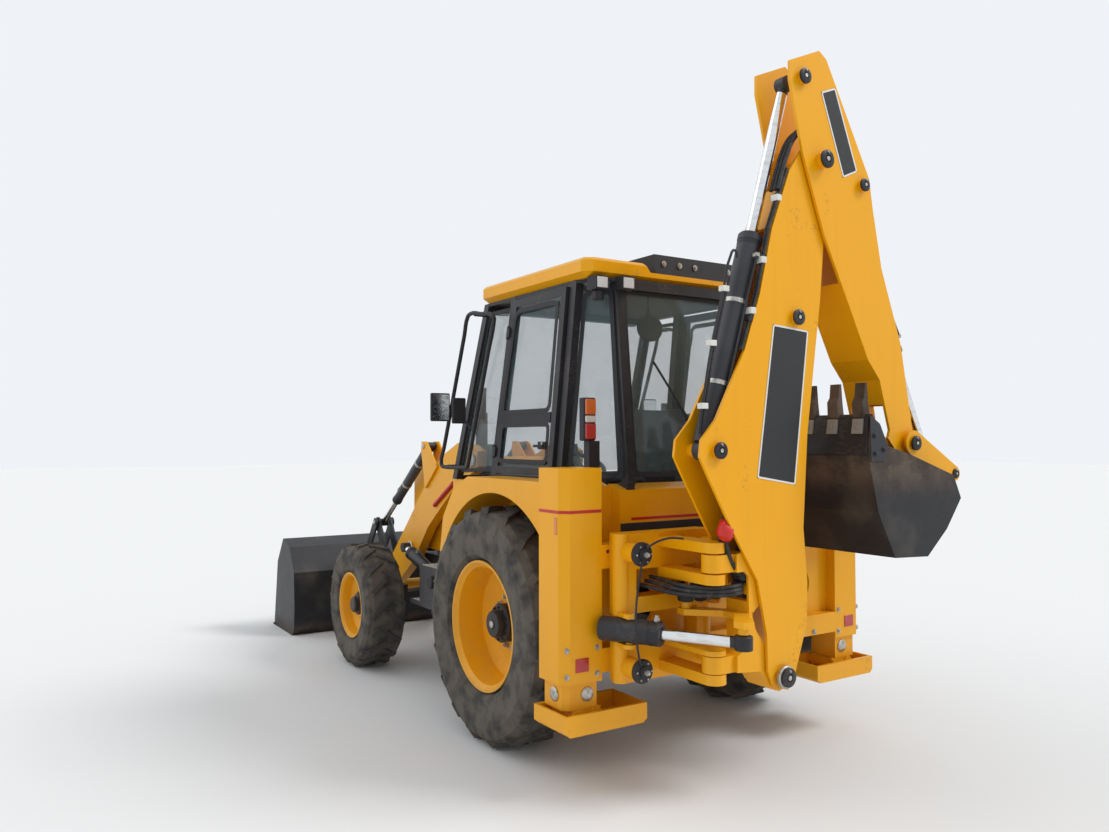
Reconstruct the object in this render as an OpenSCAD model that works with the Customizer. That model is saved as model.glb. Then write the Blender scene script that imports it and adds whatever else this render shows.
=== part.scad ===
/* [Stance] */
// Distance between the rear axle and the front axle
wheelbase = 2170; // [2050:10:2300]
// Outer radius of a rear tyre over its lugs
rear_r = 690; // [670:5:710]
// Width of a rear tyre
rear_w = 430; // [390:5:440]
// Distance from the centreline to the middle of a rear tyre
rear_y = 885; // [880:5:920]
// Outer radius of a front tyre over its lugs
front_r = 476; // [450:2:490]
// Width of a front tyre
front_w = 317; // [280:2:320]
// Distance from the centreline to the middle of a front tyre
front_y = 945; // [940:5:980]
// Radius of a rear rim at its flange
rear_rim_r = 378; // [350:2:400]
// Radius of a front rim at its flange
front_rim_r = 253; // [235:1:265]
// Distance from the centreline to a steering pivot
kingpin_y = 790; // [770:5:800]
// Height of a rear tyre's lugs
rear_lug_h = 30; // [20:1:36]
// Height of a front tyre's lugs
front_lug_h = 18; // [12:1:24]
// Number of lugs on each half of a rear tyre
rear_lugs = 19; // [16:1:24]
// Number of lugs on each half of a front tyre
front_lugs = 18; // [14:1:22]
// Angle by which each lug slants away from the axle's direction
lug_lean = 38; // [30:1:45]

/* [Chassis] */
// Half distance over the main chassis rails
rail_y = 330; // [300:5:350]
// Height of a chassis rail's underside
rail_z = 560; // [520:5:600]
// Height of a chassis rail
rail_h = 190; // [150:5:220]
// Thickness of a fabricated chassis plate
plate_t = 25; // [16:1:30]

/* [Cab] */
// Half width of the cab at its sill
cab_y = 750; // [735:1:765]
// How far each side leans in from sill to roof
cab_lean = 50; // [30:1:70]
// Height of the sill of the side windows
sill_z = 1530; // [1500:5:1560]
// Height of the underside of the roof
roof_z = 2680; // [2640:5:2720]
// Thickness of the roof
roof_t = 110; // [90:2:130]
// Width of a cab post
post_w = 60; // [45:1:75]
// Depth of a cab post through the wall
post_t = 50; // [40:1:60]
// Thickness of a window pane
glass_t = 8; // [5:1:12]

/* [Loader] */
// Distance from the centreline to the middle of a loader arm
arm_y = 430; // [420:2:450]
// Thickness of a loader arm
arm_t = 80; // [60:2:90]
// Half width of the shovel
shovel_y = 1150; // [1100:5:1180]
// Distance of the shovel's cutting edge ahead of its pins
shovel_reach = 800; // [750:5:850]
// Thickness of the shovel's wrapper plate
shovel_t = 18; // [12:1:25]

/* [Backhoe carriage] */
// Distance from the rear axle back to the slew axis
slew_x = 1400; // [1380:5:1430]
// Offset of the slew axis to the left as the machine is parked
shift_y = 540; // [500:5:560]
// Radius of a slew knuckle
knuckle_r = 58; // [50:1:64]

/* [Boom and dipper] */
// Width over the boom's side plates
boom_w = 200; // [190:2:210]
// Thickness of a side plate of the boom or the dipper
side_t = 16; // [12:1:18]
// Gap between the boom and the dipper's tail plates on each side
tail_gap = 8; // [6:1:10]

/* [Digging bucket] */
// Width of the digging bucket
bucket_w = 600; // [560:5:640]
// Thickness of the bucket's plates
bucket_t = 14; // [10:1:18]

/* [Rams] */
// Radius of a boom or dipper ram's barrel
barrel_r = 58; // [52:1:62]
// Radius of a boom or dipper ram's rod
piston_r = 30; // [24:1:34]
// Radius of a slew ram's barrel
slew_barrel_r = 60; // [50:1:61]
// Clearance between a pin and its bore, or a rod and its barrel
fit = 0.3; // [0.2:0.05:0.5]

/* [Stabilisers] */
// Distance from the centreline to the outer face of a stabiliser column
column_y = 1110; // [1105:1:1118]
// Width of a stabiliser column
column_w = 235; // [225:1:240]
// Depth of a stabiliser column from front to rear
column_d = 225; // [215:1:230]
// Wall of a stabiliser column
column_t = 20; // [16:1:24]
// Clearance of a leg inside its column on each side
leg_fit = 0.8; // [0.6:0.1:2]

/* [Hidden] */
$fn = 48;
paint = [0.93, 0.58, 0.02];
black = [0.06, 0.06, 0.07];
dark = [0.11, 0.11, 0.12];
chrome = [0.80, 0.81, 0.83];
rubber = [0.10, 0.10, 0.10];

// Reach ahead of the rear axle and behind it, and the shift that centres the machine
arm_pin = [3330, 285];
lever_end_r = 42;
front_reach = arm_pin.x + shovel_reach;
rear_reach = slew_x + bucket_w / 2 + bucket_t;
right_reach = 1712 + lever_end_r - shift_y;
middle_x = (front_reach - rear_reach) / 2;
middle_y = (shovel_y - right_reach) / 2;

// Loader pivots in side view, each x ahead of the rear axle and z above the ground
arm_pivot = [1250, 1620];
lift_base = [1100, 500];
lift_pin = [2370, 870];
tilt_base = [2090, 1720];
lever_top = [3100, 1020];
lever_pivot = [2820, 610];
shovel_top = [3390, 620];
lift_y = arm_y + arm_t / 2 + 56;
bonnet_pin = [1440, 1590];

// Backhoe pivots, each u behind the slew axis and z above the ground
foot_pin = [360, 605];
post_pin = [190, 1040];
boom_ram_pin = [478, 2388];
dipper_pin = [650, 3210];
horn_pin = [-60, 1720];
tail_pin = [515, 3618];
bucket_ram_pin = [970, 3130];
lever_pin = [1340, 1750];
lever_end = [1712, 1575];
bucket_pin = [1580, 1530];
link_pin = [1560, 1280];

// Half widths of the backhoe's layers, from the middle plane outwards
boom_in = boom_w / 2 - side_t;
tail_in = boom_w / 2 + tail_gap;
tail_out = tail_in + side_t;
ear_in = tail_out + 6;
ear_out = ear_in + bucket_t;
lever_in = ear_out + 6;
lever_out = lever_in + 14;

// Moves the rear axle's frame to the middle of the machine
module placed() translate([-middle_x, -middle_y, 0]) children();

// Turns the backhoe as it is parked, with its own rear pointing to the machine's right
module backhoe() placed() translate([-slew_x, shift_y, 0]) rotate([0, 0, -90]) children();

// Slab of a side view outline between two distances from the centreline
module slab_y(y0, y1) translate([0, y1, 0]) rotate([90, 0, 0]) linear_extrude(y1 - y0) children();

// Slab of a front view outline between two distances along the machine
module slab_x(x0, x1) translate([x0, 0, 0]) rotate([90, 0, 90]) linear_extrude(x1 - x0) children();

module rod_y(r, y0, y1, p) translate([p.x, y1, p.y]) rotate([90, 0, 0]) cylinder(r = r, h = y1 - y0);
module rod_x(r, x0, x1, p) translate([x0, p.x, p.y]) rotate([0, 90, 0]) cylinder(r = r, h = x1 - x0);
module rod_z(r, z0, z1, p) translate([p.x, p.y, z0]) cylinder(r = r, h = z1 - z0);

// Copies its children on both sides of the centreline
module both() {
    children();
    mirror([0, 1, 0]) children();
}

// Points its children's x axis from one point of a side view to another
module aim(a, b, y = 0)
    translate([a.x, y, a.y]) rotate([0, -atan2(b.y - a.y, b.x - a.x), 0]) children();

function dist(a, b) = norm([b.x - a.x, b.y - a.y]);

// Ram barrel, bored for its rod, with its base eye at the first point
module barrel(a, b, len, r, w, rod_r, pin_r, y = 0) aim(a, b, y) difference() {
    union() {
        translate([r * 0.6, 0, 0]) rotate([0, 90, 0]) cylinder(r = r, h = len - r * 0.6);
        translate([0, w / 2, 0]) rotate([90, 0, 0]) cylinder(r = r * 0.85, h = w);
        translate([len - r * 0.5, 0, 0]) rotate([0, 90, 0]) cylinder(r = r + 4, h = r * 0.5);
    }
    translate([r * 1.2, 0, 0]) rotate([0, 90, 0]) cylinder(r = rod_r + fit, h = len);
    translate([0, w, 0]) rotate([90, 0, 0]) cylinder(r = pin_r + fit, h = 2 * w);
}

// Ram rod from inside its barrel to the eye at the second point
module piston(a, b, from, r, w, y = 0) aim(a, b, y) {
    translate([from, 0, 0]) rotate([0, 90, 0]) cylinder(r = r, h = dist(a, b) - from);
    translate([dist(a, b), w / 2, 0]) rotate([90, 0, 0]) cylinder(r = r * 1.4, h = w);
}

// Tyre and rim are revolved about the axle, with the outer side at plus y
module wheel_at(x, y, r, side) translate([x, side * y, r]) scale([1, side, 1]) rotate([-90, 0, 0]) children();

// Lug in side view of its own length: from the tread's middle out to the shoulder
module lug(r, w, h, t) {
    half = t / 2 * sin(lug_lean);
    a = w * 0.36 / cos(lug_lean);
    b = (w * 0.49 - half) / cos(lug_lean);
    top = sqrt(pow(r, 2) - pow(a * sin(lug_lean), 2));
    tip = sqrt(pow(r * 0.905, 2) - pow(b * sin(lug_lean), 2));
    rotate([lug_lean, 0, 0]) translate([0, t / 2, 0]) rotate([90, 0, 0]) linear_extrude(t)
        polygon([[r, -8], [top, a], [tip, b], [tip - 2 * h, b], [r - 3 * h, -8]]);
}

// Tyre with slanting lugs in two staggered halves; one lug of the first half stands at the very bottom
module tyre_body(r, w, rim_r, lug_h, lug_t, lugs) {
    rotate_extrude($fn = 72)
        polygon([[rim_r - 7.1, -w * 0.35], [rim_r + 6, -w * 0.38], [rim_r + 30, -w * 0.46], [r * 0.83, -w * 0.5],
            [r * 0.92, -w * 0.45], [r - lug_h, -w * 0.34], [r - lug_h, w * 0.34], [r * 0.92, w * 0.45],
            [r * 0.83, w * 0.5], [rim_r + 30, w * 0.46], [rim_r + 6, w * 0.38], [rim_r - 7.1, w * 0.35]]);
    for (half = [0, 1], i = [0:lugs - 1]) mirror([0, 0, half])
        rotate([0, 0, 90 + (i + half / 2) * 360 / lugs]) lug(r, w, lug_h, lug_t);
}

// Rim with a flange at each edge, a dished disc and a stepped hub
module rim_body(rim_r, w, dish, hub_r, hub_out) {
    rotate_extrude($fn = 72) polygon([[0, dish - 12], [rim_r * 0.55, dish - 12], [rim_r * 0.70, dish - 30],
        [rim_r * 0.86, -w * 0.42], [rim_r, -w * 0.42], [rim_r, -w * 0.39], [rim_r - 8, -w * 0.36],
        [rim_r - 8, w * 0.36], [rim_r, w * 0.39], [rim_r, w * 0.42], [rim_r - 14, w * 0.42],
        [rim_r * 0.90, w * 0.36], [rim_r * 0.86, dish + 30], [rim_r * 0.62, dish + 4], [0, dish + 4]]);
    translate([0, 0, dish]) cylinder(r = hub_r, h = hub_out * 0.65);
    translate([0, 0, dish]) cylinder(r = hub_r * 0.7, h = hub_out);
}

// Height of the seats on which the chassis rails rest over the rear axle
axle_seat_z = rear_r + 85.5;
module chassis() placed() color(black) {
    both() slab_y(rail_y - plate_t * 3, rail_y)
        polygon([[-855, axle_seat_z + 0.5], [-855, axle_seat_z + 114], [250, axle_seat_z + 114], [450, rail_z + rail_h],
            [1000, rail_z + rail_h], [1500, rail_z + rail_h + 60], [2560, rail_z + rail_h + 60],
            [2560, rail_z + 60], [1700, rail_z], [480, rail_z], [250, axle_seat_z + 0.5]]);
    for (p = [[-600, axle_seat_z + 10], [200, axle_seat_z + 10], [900, 640], [1600, 640], [2130, 640], [2300, 640],
            [2470, 640]])
        translate([p.x, -rail_y + plate_t, p.y]) cube([80, 2 * (rail_y - plate_t), 100]);
    translate([2120, -150, 630.5]) cube([100, 300, 20]);
    translate([-80, -rail_y + plate_t, axle_seat_z + 90]) cube([160, 2 * (rail_y - plate_t), 20]);
    both() slab_y(arm_y - arm_t / 2 - plate_t - 8, arm_y - arm_t / 2 - 8)
        polygon([[1030, 430], [1030, 900], [1070, 950], [1070, 1560], [1130, 1740], [1380, 1740], [1460, 1560],
            [1460, 620], [1250, 430]]);
    both() translate([1050, rail_y - plate_t, rail_z + 20]) cube([360, arm_y - arm_t / 2 - 20 - rail_y + plate_t, 140]);
    both() rod_y(45, arm_y - arm_t / 2 - 12, arm_y + arm_t / 2 + 12, arm_pivot);
    both() rod_y(32, arm_y - arm_t / 2 - 12, lift_y + 34, lift_base);
    both() for (p = [[-560, 790], [850, 660]]) rod_z(37, p.y, 959.5, [p.x, rail_y - 38]);
    rod_y(12, -365, 365, bonnet_pin);
    difference() {
        translate([2540, -70, 612]) cube([120, 140, 30]);
        rod_z(17, 600, 660, [2620, 0]);
    }
}

module rear_axle() placed() color(black) {
    rod_y(84, -560, 560, [0, rear_r]);
    translate([0, 0, rear_r]) sphere(r = 170);
    both() rod_y(150, 520, 600, [0, rear_r]);
    both() rod_y(75, 590, rear_y - 42.5, [0, rear_r]);
    both() translate([-70, 262, rear_r]) cube([140, 60, axle_seat_z - rear_r]);
}

module front_axle() placed() color(black) {
    slab_x(wheelbase - 70, wheelbase + 70)
        polygon([[-700, 410], [-240, 400], [-120, 350], [120, 350], [240, 400], [700, 410],
            [700, 540], [270, 560], [190, 630], [-190, 630], [-270, 560], [-700, 540]]);
    both() translate([wheelbase - 70, 620, 345]) cube([140, 80, 260]);
    both() rod_z(30, 350, 600, [wheelbase, kingpin_y]);
    both() for (z = [345, 565]) translate([wheelbase - 45, 690, z]) cube([90, kingpin_y - 660, 40]);
}

module knuckle(side) placed() color(black) translate([wheelbase, side * kingpin_y, 0]) scale([1, side, 1]) {
    difference() {
        translate([0, 0, 395]) cylinder(r = 62, h = 160);
        translate([0, 0, 390]) cylinder(r = 30 + fit, h = 170);
    }
    translate([0, 40, front_r]) rotate([-90, 0, 0]) cylinder(r = 50, h = front_y - kingpin_y - 32.5);
    translate([-180, -30, 410]) cube([150, 60, 30]);
}
module knuckle_left() knuckle(1);
module knuckle_right() knuckle(-1);

module rear_rim(side) placed() color(paint) wheel_at(0, rear_y, rear_r, side)
    rim_body(rear_rim_r, rear_w, -30, 110, 130);
module rear_rim_left() rear_rim(1);
module rear_rim_right() rear_rim(-1);
module front_rim(side) placed() color(paint) wheel_at(wheelbase, front_y, front_r, side)
    rim_body(front_rim_r, front_w, 20, 80, 90);
module front_rim_left() front_rim(1);
module front_rim_right() front_rim(-1);
module rear_tyre(side) placed() color(rubber) wheel_at(0, rear_y, rear_r, side)
    tyre_body(rear_r, rear_w, rear_rim_r, rear_lug_h, 48, rear_lugs);
module rear_tyre_left() rear_tyre(1);
module rear_tyre_right() rear_tyre(-1);
module front_tyre(side) placed() color(rubber) wheel_at(wheelbase, front_y, front_r, side)
    tyre_body(front_r, front_w, front_rim_r, front_lug_h, 32, front_lugs);
module front_tyre_left() front_tyre(1);
module front_tyre_right() front_tyre(-1);

module engine_block() placed() color(dark)
    translate([1560, -230, rail_z + rail_h - 9.5]) cube([800, 460, 620]);

module bonnet() placed() color(paint) difference() {
    union() {
        difference() {
            slab_y(-350, 350) polygon([[1480, 860], [1480, 1600], [1560, 1640], [2400, 1560], [2590, 1446],
                [2600, 860]]);
            slab_y(-330, 330) polygon([[1400, 800], [1400, 1585], [1560, 1620], [2395, 1540], [2570, 1440],
                [2700, 1440], [2700, 800]]);
        }
        rod_z(60, 1586, 1606, [2000, 0]);
        both() slab_y(200, 260) hull() {
            translate(bonnet_pin) circle(r = 22, $fn = 32);
            translate([1500, 1598]) circle(r = 10, $fn = 32);
        }
    }
    rod_y(12 + fit, -300, 300, bonnet_pin);
}

module grille() placed() color(black) {
    difference() {
        slab_y(-324, 324) polygon([[2560.5, 650], [2560.5, 1425], [2630, 1425], [2650, 650]]);
        slab_y(-284, 284) polygon([[2550, 700], [2550, 1380], [2700, 1380], [2700, 700]]);
    }
    for (i = [0:9]) translate([2580, -290, 730 + i * 66]) cube([30, 580, 24]);
}

module exhaust() placed() color(black) {
    rod_z(38, 1606.5, 2200, [2000, 0]);
    rod_z(50, 1700, 2000, [2000, 0]);
}

function side_y(z) = cab_y - (z - 1500) * cab_lean / 1220;

module strut(a, b, w = post_w, t = post_t, h = 2) hull() {
    translate(a) cube([w, t, h], center = true);
    translate(b) cube([w, t, h], center = true);
}

module pane(a, b, c, d, t = glass_t) hull() for (p = [a, b, c, d]) translate(p) cube(t, center = true);

function cab_at(x, z, in = 0) = [x, side_y(z) - in, z];

fender = [[-690, 1200], [-690, 1520], [-600, 1545], [330, 1545], [520, 1470], [680, 1270], [730, 1010],
    [700, 1000], [0, 690]];
module cab_body() placed() color(paint) {
    both() slab_y(648, 985) difference() {
        polygon(fender);
        translate([0, rear_r]) circle(r = 770, $fn = 96);
    }
    both() slab_y(630, 650) polygon([[-695, 950], [-695, 1512], [-610, 1538], [322, 1538], [508, 1464],
        [600, 1499], [1055, 1499], [1055, 950]]);
    slab_y(-635, 635) polygon([[-780, 1100], [-780, 1500], [-690, 1530], [-670, 1530], [-670, 1000],
        [1000, 1000], [1000, 1500], [1060, 1500], [1060, 960], [-700, 960], [-700, 1080]]);
    both() slab_y(649, cab_y - 20) polygon([[735, 960], [722, 1015], [664, 1262], [504, 1460], [595, 1498],
        [1050, 1498], [1050, 960]]);
}

post_top = roof_z - 2;
// Hinges of a cab door: their heights, and the leaning line that they share
hinge_z = [1700, 2450];
hinge_slope = [-0.1716, -cab_lean / 1220, 1];
module on_hinge(z) translate([398 + hinge_slope.x * (z - 1700), side_y(z) + 16, z])
    rotate([0, -atan2(-hinge_slope.x, 1), 0]) rotate([atan2(-hinge_slope.y, norm([hinge_slope.x, 1])), 0, 0])
        children();
module cab_frame() placed() color(black) {
    both() {
        strut(cab_at(1000, 1501.5, 30), cab_at(610, post_top, 30));
        strut(cab_at(445, 1546.5, 30), cab_at(250, post_top, 30));
        strut(cab_at(-330, 1546.5, 30), cab_at(-430, post_top, 30));
        strut([-760, 560, 1532], [-600, 520, post_top]);
        translate([-360, cab_y - 57, 1545.5]) cube([835, 50, 9]);
        slab_y(535, 585) polygon([[-779, 1500.9], [-700, 1527.2], [-700, 1540], [-779, 1540]]);
        for (z = hinge_z) on_hinge(z) {
            cylinder(r = 7, h = 84, center = true);
            for (h = [-42, 30]) translate([0, 0, h]) {
                cylinder(r = 12, h = 12);
                translate([-6, -32, 0]) cube([18, 32, 12]);
            }
        }
    }
    both() {
        strut([-430, cab_y - 80, roof_z - 10], [610, cab_y - 80, roof_z - 10], 60, 50, 20);
        strut([-600, 520, roof_z - 10], [-430, cab_y - 80, roof_z - 10], 60, 50, 20);
    }
    translate([-640, -520, roof_z - 60]) cube([60, 1040, 60]);
    translate([570, -660, roof_z - 60]) cube([60, 1320, 60]);
    translate([970, -720, 1500.5]) cube([60, 1440, 25]);
}

// One layer of the roof from above, drawn in by a margin
module roof_layer(z, in) translate([0, 0, roof_z + z]) linear_extrude(1)
    polygon([[-615 + in, -690 + in], [-615 + in, 690 - in], [-560, 735 - in], [590, 735 - in], [650 - in, 650],
        [650 - in, -650], [590, -735 + in], [-560, -735 + in]]);

// Roof with a recess at the rear, and the hood of the air unit that stands in it
module cab_roof() placed() color(paint) {
    difference() {
        hull() {
            roof_layer(0.5, 45);
            roof_layer(28, 0);
            roof_layer(90, 0);
            roof_layer(roof_t - 1, 22);
        }
        slab_x(-700, -230) polygon([[-560, 2840], [-480, 2736], [285, 2736], [365, 2840]]);
    }
}
module air_hood() placed() color(black) slab_y(-455, 245)
    polygon([[-612, 2736.5], [-600, 2852], [-300, 2852], [-236, 2800], [-236, 2736.5]]);

module cab_glass() placed() color([0.35, 0.5, 0.5, 0.5]) {
    both() pane(cab_at(944.9, 1560, 30), cab_at(474.4, 1580, 30), cab_at(296.9, 2610, 30), cab_at(596.8, 2610, 30));
    both() pane([-367.8, 700, 1580], [-735, 588.5, 1580], [-600, 552, 2610], [-458.8, 645, 2610]);
    pane([-758, -528.5, 1580], [-758, 528.5, 1580], [-612, 492.3, 2610], [-612, -492.3, 2610]);
    pane([992, -688.8, 1540], [992, 688.8, 1540], [634, 644.4, 2615], [634, -644.4, 2615]);
}

module door(side) placed() color(black) scale([1, side, 1]) {
    strut(cab_at(382, 1560), cab_at(195, 2650), 50, 30);
    strut(cab_at(-265, 1560), cab_at(-362, 2650), 50, 30);
    strut(cab_at(-260, 1584), cab_at(370, 1584), 50, 30, 48);
    strut(cab_at(-350, 2626), cab_at(190, 2626), 50, 30, 48);
    for (z = hinge_z) on_hinge(z) difference() {
        union() {
            cylinder(r = 12, h = 58, center = true);
            translate([-30, -12, -29]) cube([30, 24, 58]);
        }
        cylinder(r = 7 + fit, h = 90, center = true);
    }
}
module door_left() door(1);
module door_right() door(-1);
module door_glass(side) placed() color([0.35, 0.5, 0.5, 0.5]) scale([1, side, 1])
    pane(cab_at(342.6, 1612.6), cab_at(-240, 1612.6), cab_at(-327.6, 2597.4), cab_at(173.7, 2597.4));
module door_glass_left() door_glass(1);
module door_glass_right() door_glass(-1);

module seat() placed() color(dark) {
    translate([-250, -240, 1000.5]) cube([420, 480, 251]);
    translate([-230, -250, 1250]) cube([480, 500, 120]);
    translate([-300, -240, 1300]) cube([110, 480, 670]);
}

module controls() placed() color(black) {
    translate([600, -120, 1000.5]) cube([140, 240, 560]);
    translate([560, 0, 1600]) rotate([0, -25, 0]) rotate_extrude() translate([190, 0]) circle(r = 16, $fn = 16);
    translate([560, 0, 1600]) rotate([0, -25, 0]) translate([-180, -20, -10]) cube([360, 40, 20]);
    translate([590, -20, 1520]) cube([40, 40, 90]);
    translate([-620, -300, 1000.5]) cube([160, 600, 420]);
}

module side_steps() placed() color(dark) both() {
    translate([1419, 600, 560]) cube([171, 220, 30]);
    translate([985, 600, 560]) cube([435, 220, 300]);
    translate([985, rail_y + 0.5, 600]) cube([40, 270, 60]);
}

module mirrors() placed() color(black) both() {
    strut([650, 820, 1585], [277, 820, 2540], 30, 30);
    strut([1065, 820, 1600], [645, 820, 2610], 30, 30);
    strut([277, 820, 2540], [645, 820, 2610], 30, 30, 30);
    strut([636, 820, 1585], [1065, 820, 1600], 30, 30, 30);
    translate([945, 742.4, 1580]) cube([30, 80, 25]);
    translate([892, 800, 1900]) cube([30, 180, 200]);
}

module lamps() placed() color("white") {
    both() translate([-705, 468, roof_z - 75]) cube([64.5, 88, 75]);
    both() translate([-650, 610, roof_z - 75]) cube([90, 85, 75]);
    both() translate([630.5, 500, roof_z - 58]) cube([60, 90, 58]);
    both() translate([-685, 700, 1535.8]) cube([50, 70, 230]);
}

arm_outline = [[1190, 1550], [1180, 1690], [1300, 1730], [1500, 1750], [1800, 1640], [2080, 1420], [2450, 1080],
    [2800, 760], [3200, 480], [3340, 350], [3390, 310], [3390, 250], [3340, 222], [3280, 225], [2950, 380],
    [2600, 580], [2330, 760], [2050, 1060], [1800, 1240], [1560, 1400], [1350, 1500]];

module loader_arms() placed() color(paint) {
    both() difference() {
        slab_y(arm_y - arm_t / 2, arm_y + arm_t / 2) polygon(arm_outline);
        rod_y(45 + fit, arm_y - arm_t, arm_y + arm_t, arm_pivot);
        rod_y(30 + fit, arm_y - arm_t, arm_y + arm_t, arm_pin);
    }
    rod_y(50, -arm_y + arm_t / 2 - 1, arm_y - arm_t / 2 + 1, [2950, 460]);
    both() rod_y(34, arm_y - 66, arm_y + 66, lever_pivot);
    both() rod_y(46, arm_y + arm_t / 2 - 1, arm_y + arm_t / 2 + 18, lift_pin);
    both() slab_y(arm_y - 60, arm_y + 60) polygon([[1840, 1560], [1950, 1570], [2090, 1450], [2060, 1380]]);
    both() for (y = [-60, 46]) slab_y(arm_y + y, arm_y + y + 14)
        polygon([[1840, 1560], [2040, 1760], [2130, 1760], [2140, 1690], [2060, 1380]]);
    both() rod_y(20, arm_y - 60, arm_y + 60, tilt_base);
}

lift_len = dist(lift_base, lift_pin) - 123;
module lift_barrels() placed() color(black) both()
    barrel(lift_base, lift_pin, lift_len, 50, 60, 28, 32, lift_y);
module lift_rods() placed() color(chrome) both() piston(lift_base, lift_pin, 100, 28, 60, lift_y);

tilt_len = 850;
module tilt_barrels() placed() color(black) both()
    barrel(tilt_base, lever_top, tilt_len, 40, 80, 24, 20, arm_y);
module tilt_rods() placed() color(chrome) both() piston(tilt_base, lever_top, 300, 24, 60, arm_y);
module tilt_levers() placed() color(black) both() for (side = [-1, 1]) translate([0, arm_y, 0]) scale([1, side, 1]) {
    slab_y(46, 62) difference() {
        hull() {
            translate(lever_top) circle(r = 50, $fn = 32);
            translate(lever_pivot) circle(r = 60, $fn = 32);
        }
        translate(lever_pivot) circle(r = 34 + fit);
    }
    rod_y(20, 60, 92, lever_top);
}
module tilt_links() placed() color(black) both() for (side = [-1, 1]) translate([0, arm_y, 0]) scale([1, side, 1])
    slab_y(68, 86) difference() {
        hull() {
            translate(lever_top) circle(r = 42, $fn = 32);
            translate(shovel_top) circle(r = 42, $fn = 32);
        }
        translate(lever_top) circle(r = 20 + fit);
    }

module shovel() placed() color(black) {
    slab_y(-shovel_y, shovel_y)
        polygon([[3440, 60], [3500, 0], [front_reach, 0], [front_reach - 60, 26], [3520, 26], [3462, 80],
            [3445, 240], [3470, 560], [3600, 770], [3800, 830], [3800, 850], [3590, 790], [3450, 570],
            [3425, 240]]);
    both() slab_y(shovel_y - 20, shovel_y)
        polygon([[3440, 60], [3500, 0], [front_reach - 60, 0], [front_reach - 60, 60], [3980, 620], [3800, 850],
            [3590, 790], [3450, 570], [3425, 240]]);
    both() for (y = [-112, 98]) slab_y(arm_y + y, arm_y + y + 14)
        polygon([[3270, 220], [3270, 340], [3350, 660], [3430, 680], [3460, 600], [3435, 240], [3450, 60],
            [3400, 90]]);
    both() rod_y(30, arm_y - 112, arm_y + 112, arm_pin);
    both() for (y = [-122, 98]) rod_y(25, arm_y + y, arm_y + y + 24, shovel_top);
}

// Distance from the rear axle back to the face that the carriage slides on
guide_x = 950;
// Front face of the stabiliser columns, and how much of each outer rear corner is cut off
column_x = -720;
column_cut = 42;

// Outline of a column from above, or of what fits inside it by a wall and a clearance
module column_outline(in) {
    c = column_cut - in * (2 - sqrt(2));
    x0 = column_x - column_d + in;
    x1 = column_x - in;
    y0 = column_y - column_w + in;
    y1 = column_y - in;
    polygon([[x0, y0], [x1, y0], [x1, y1], [x0 + c, y1], [x0, y1 - c]]);
}

module rear_frame() placed() color(paint) {
    inner_y = column_y - column_w + 1;
    both() difference() {
        translate([0, 0, 560]) linear_extrude(1070) column_outline(0);
        translate([0, 0, 559]) linear_extrude(1050) column_outline(column_t);
    }
    for (z = [660, 1180]) translate([-guide_x + 0.5, -inner_y, z - 60]) cube([80, 2 * inner_y, 120]);
    difference() {
        translate([-880, -inner_y, 600]) cube([24.5, 2 * inner_y, 640]);
        for (y = [-600, 600]) rod_x(120, -900, -800, [y, 900]);
        for (y = [-300, 300]) rod_x(60, -900, -800, [y, 1010]);
    }
}

// Trunnions of the slew rams, each as x ahead of the slew axis, y, z and the side it opens to
trunnion_x = 300;
trunnion_y = 280;
left_ram_z = 830;
right_ram_z = 1000;
// Distance from the slew axis to the eye of a slew ram
eye_r = 200;
module carriage() placed() color(paint) translate([-slew_x, shift_y, 0]) {
    difference() {
        union() {
            translate([346, -290, 560]) cube([slew_x - guide_x - 346, 580, 740]);
            for (y = [-270, 270]) rod_z(45, 560, 1300, [385, y]);
        }
        translate([330, -200, 980]) cube([200, 400, 140]);
        translate([330, -200, 740]) cube([200, 400, 160]);
        translate([330, 175, left_ram_z - 65]) cube([200, 200, 130]);
        translate([330, -375, right_ram_z - 65]) cube([200, 200, 130]);
    }
    for (z = [[1075, 50], [1227, 50], [600, 50], [738, 24]]) {
        translate([0, 0, z[0]]) cylinder(r = knuckle_r, h = z[1]);
        translate([0, -knuckle_r, z[0]]) cube([350, 2 * knuckle_r, z[1]]);
    }
    for (z = [1100, 610]) translate([0, 0, z]) cylinder(r = 30, h = 150);
    for (t = [[trunnion_y, left_ram_z], [-trunnion_y, right_ram_z]]) {
        for (z = [-85, 41]) translate([trunnion_x, t[0], t[1] + z]) cylinder(r = 20, h = 44);
        for (z = [-85, 65]) translate([trunnion_x, t[0], t[1] + z]) {
            cylinder(r = 36, h = 20);
            translate([0, -36, 0]) cube([60, 66, 20]);
        }
    }
    for (y = [-250, 250]) for (z = [640, 1210]) rod_x(50, 250, 345, [y, z]);
}

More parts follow.
